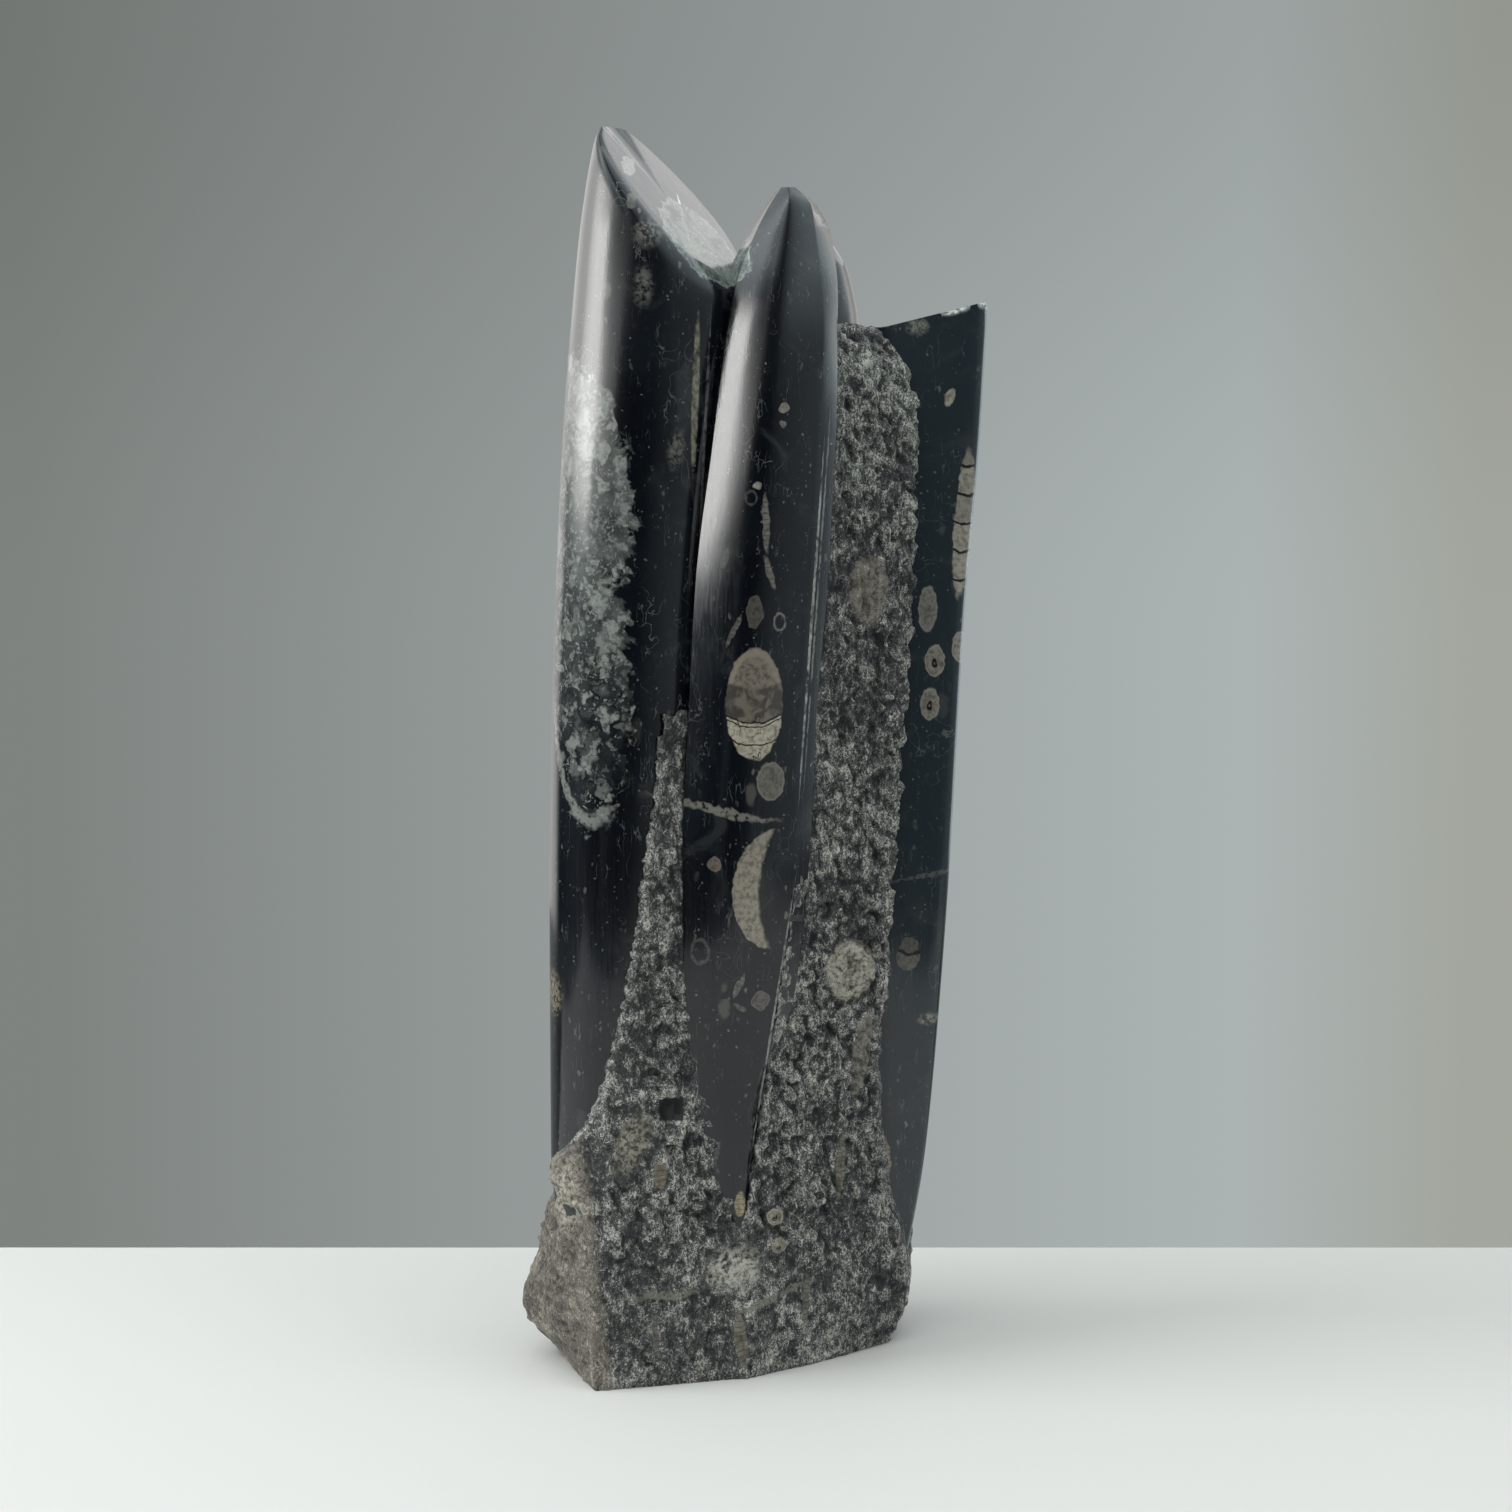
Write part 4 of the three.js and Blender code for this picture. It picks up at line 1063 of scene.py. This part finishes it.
# azimuth in degrees from the front, to the right positive, and how bright the tent is there
TENT = [(-180, 0.3), (-155, 1.3), (-120, 2.8), (-100, 4.5), (-85, 9.0), (-70, 12), (-52, 12), (-40, 5.6),
        (-30, 2.9), (-18, 1.6), (-9, 0.5), (0, 0.12), (14, 0.08), (28, 0.14), (40, 0.5), (60, 1.0), (90, 1.4),
        (105, 1.8), (125, 2.6), (142, 1.0), (160, 0.85), (180, 0.3)]
BRIGHTEST = 12.0  # of the tent
# x in millimetres, and the backdrop's glow there, with the studio's light painted in
PAPER = [(-710, (126, 131, 128)), (480, (172, 179, 179)), (700, (162, 166, 158))]
PAPER_REACH = 1500.0
EYE = (0.0005, -0.924, 0.3005)
LOOKS_DOWN = 6.9  # degrees
FOCAL_LENGTH = 71.43
# name, place, what it faces, width, height, radiance, what it lights
LIGHTS = [
    ("back_box", (0.62, 1.14, 1.05), (-0.02, -0.02, 0.34), 1.2, 0.9, 1.1, "glossy"),
    ("left_fill", (-0.9, -0.2, 1.05), (0, 0, 0.2), 0.55, 0.6, 8.5, "diffuse"),
    ("right_fill", (1.0, -0.5, 0.9), (0, 0, 0.2), 0.9, 0.9, 0.9, "diffuse"),
    ("front_fill", (0, -1.6, 0.8), (0, 0, 0.2), 1.6, 0.9, 0.55, "diffuse"),
    ("top_box", (0, -0.35, 1.6), (0, -0.2, 0), 2.2, 1.6, 1.75, "diffuse"),
]


def plain(name, colour, roughness):
    material = bpy.data.materials.new(name)
    material.use_nodes = True
    shader = material.node_tree.nodes["Principled BSDF"]
    shader.inputs["Base Color"].default_value = colour
    shader.inputs["Roughness"].default_value = roughness
    return material


def backdrop_paper():
    """Self-lit paper whose glow paints the studio's light on it: grey, paler to the right, a little darker
    above.
    """
    material = bpy.data.materials.new("backdrop")
    g = Graph(material)
    x, _, z = g.axes(g.place)
    ramp = g.ramp([(0.5 + at / PAPER_REACH / 2, linear(*colour)) for at, colour in PAPER])
    g.feed(ramp.inputs[0], g.scaled(x, 0.5 / PAPER_REACH, 0.5))
    dim = g.step(z, 50.0, 700.0)
    share, dimmed = g.times(dim, 0.9), g.mix(0.22, ramp.outputs[0], (20, 16, 10))
    g.shine(g.mix(share, ramp.outputs[0], dimmed), 1.0)
    return material


def quad(name, corners, material):
    mesh = bpy.data.meshes.new(name)
    mesh.from_pydata(corners, [], [(0, 1, 2, 3)])
    obj = bpy.data.objects.new(name, mesh)
    obj.data.materials.append(material)
    scene.collection.objects.link(obj)


def panel(name, place, target, width, height, radiance, lights):
    """A soft light, as bright as the given radiance, that faces the target."""
    data = bpy.data.lights.new(name, "AREA")
    data.shape = "RECTANGLE"
    data.size, data.size_y = width, height
    data.energy = math.pi * width * height * radiance
    lamp = bpy.data.objects.new(name, data)
    lamp.location = place
    lamp.rotation_euler = (Vector(target) - Vector(place)).to_track_quat("-Z", "Y").to_euler()
    lamp.visible_camera = False
    lamp.visible_diffuse = lights == "diffuse"
    lamp.visible_glossy = lights == "glossy"
    scene.collection.objects.link(lamp)


def light_tent():
    """A round screen that shows only in the polish: bright at the left, black in front, dim at the right."""
    radius, around, low, high = 1.45, 96, -0.1, 2.4
    points = []
    for i in range(around):
        angle = 2 * math.pi * i / around
        points += [(radius * math.sin(angle), -radius * math.cos(angle), z) for z in (low, high)]
    count = len(points)
    faces = [(i, (i + 2) % count, (i + 3) % count, i + 1) for i in range(0, count, 2)]
    faces += [(i + 1, (i + 3) % count, count) for i in range(0, count, 2)]
    points.append((0, 0, high))
    material = bpy.data.materials.new("tent")
    g = Graph(material)
    x, y, z = g.axes(g.place)
    azimuth = g.times(g.math("ARCTAN2", x, g.times(y, -1.0)), 0.5 / math.pi)
    ramp = g.ramp([(0.5 + degrees / 360, (glow / BRIGHTEST,) * 3 + (1,)) for degrees, glow in TENT])
    g.feed(ramp.inputs[0], g.plus(azimuth, 0.5))
    left = g.step(azimuth, -0.02, -0.05)
    sunk = g.scaled(g.step(azimuth, -0.17, -0.13), -70.0, z)
    raised = g.scaled(g.step(sunk, 240.0, 440.0), 0.985, 0.015)
    raised = g.math("MAXIMUM", raised, g.times(g.step(azimuth, -0.31, -0.37), 0.6))
    faded = g.times(g.step(azimuth, -0.14, -0.11), g.step(z, 480.0, 950.0))
    faded = g.math("MAXIMUM", g.times(faded, 0.6), g.times(g.step(z, 850.0, 1250.0), 0.82))
    raised = g.times(raised, g.minus(1.0, faded))
    low_right = g.times(g.step(azimuth, 0.33, 0.28), g.step(z, 900.0, 400.0))
    above = g.scaled(low_right, -0.7, 1.0)
    lit_left = g.times(left, raised)
    level = g.plus(lit_left, g.times(g.minus(1.0, left), above))
    strength = g.times(g.times(ramp.outputs[0], level), BRIGHTEST)
    sky = g.times(g.step(z, 1000.0, 2100.0), g.step(azimuth, 0.08, -0.04))
    strength = g.scaled(sky, 1.4, strength)
    cool = g.times(g.step(azimuth, 0.0, 0.06), g.step(azimuth, 0.36, 0.30))
    cool = g.math("MAXIMUM", cool, g.step(raised, 0.3, 0.1))
    tint = g.mix(cool, (1.0, 0.995, 0.975, 1), (0.85, 0.99, 1.04, 1))
    g.shine(tint, strength)
    mesh = bpy.data.meshes.new("tent")
    mesh.from_pydata(points, [], faces)
    tent = bpy.data.objects.new("tent", mesh)
    tent.data.materials.append(material)
    for kind in ("camera", "diffuse", "shadow", "transmission", "volume_scatter"):
        setattr(tent, "visible_" + kind, False)
    scene.collection.objects.link(tent)


lens = bpy.data.cameras.new("camera")
lens.lens = FOCAL_LENGTH
lens.sensor_width = 36
camera = bpy.data.objects.new("camera", lens)
camera.location = EYE
camera.rotation_euler = (math.radians(90 - LOOKS_DOWN), 0, 0)
scene.collection.objects.link(camera)
bpy.context.scene.camera = camera

floor_paint = plain("floor", linear(213, 216, 213), 0.7)
quad("floor", [(-0.62, -0.65, 0), (0.75, -0.65, 0), (0.75, 0.11, 0), (-0.62, 0.11, 0)], floor_paint)
quad("backdrop", [(-3, 2, -2), (3, 2, -2), (3, 2, 3), (-3, 2, 3)], backdrop_paper())

light_tent()
for light in LIGHTS:
    panel(*light)
world = bpy.data.worlds.new("world")
world.use_nodes = True
background = world.node_tree.nodes["Background"]
background.inputs["Color"].default_value = (0.35, 0.37, 0.38, 1)
background.inputs["Strength"].default_value = 0.35
scene.world = world
scene.view_settings.view_transform = "Standard"
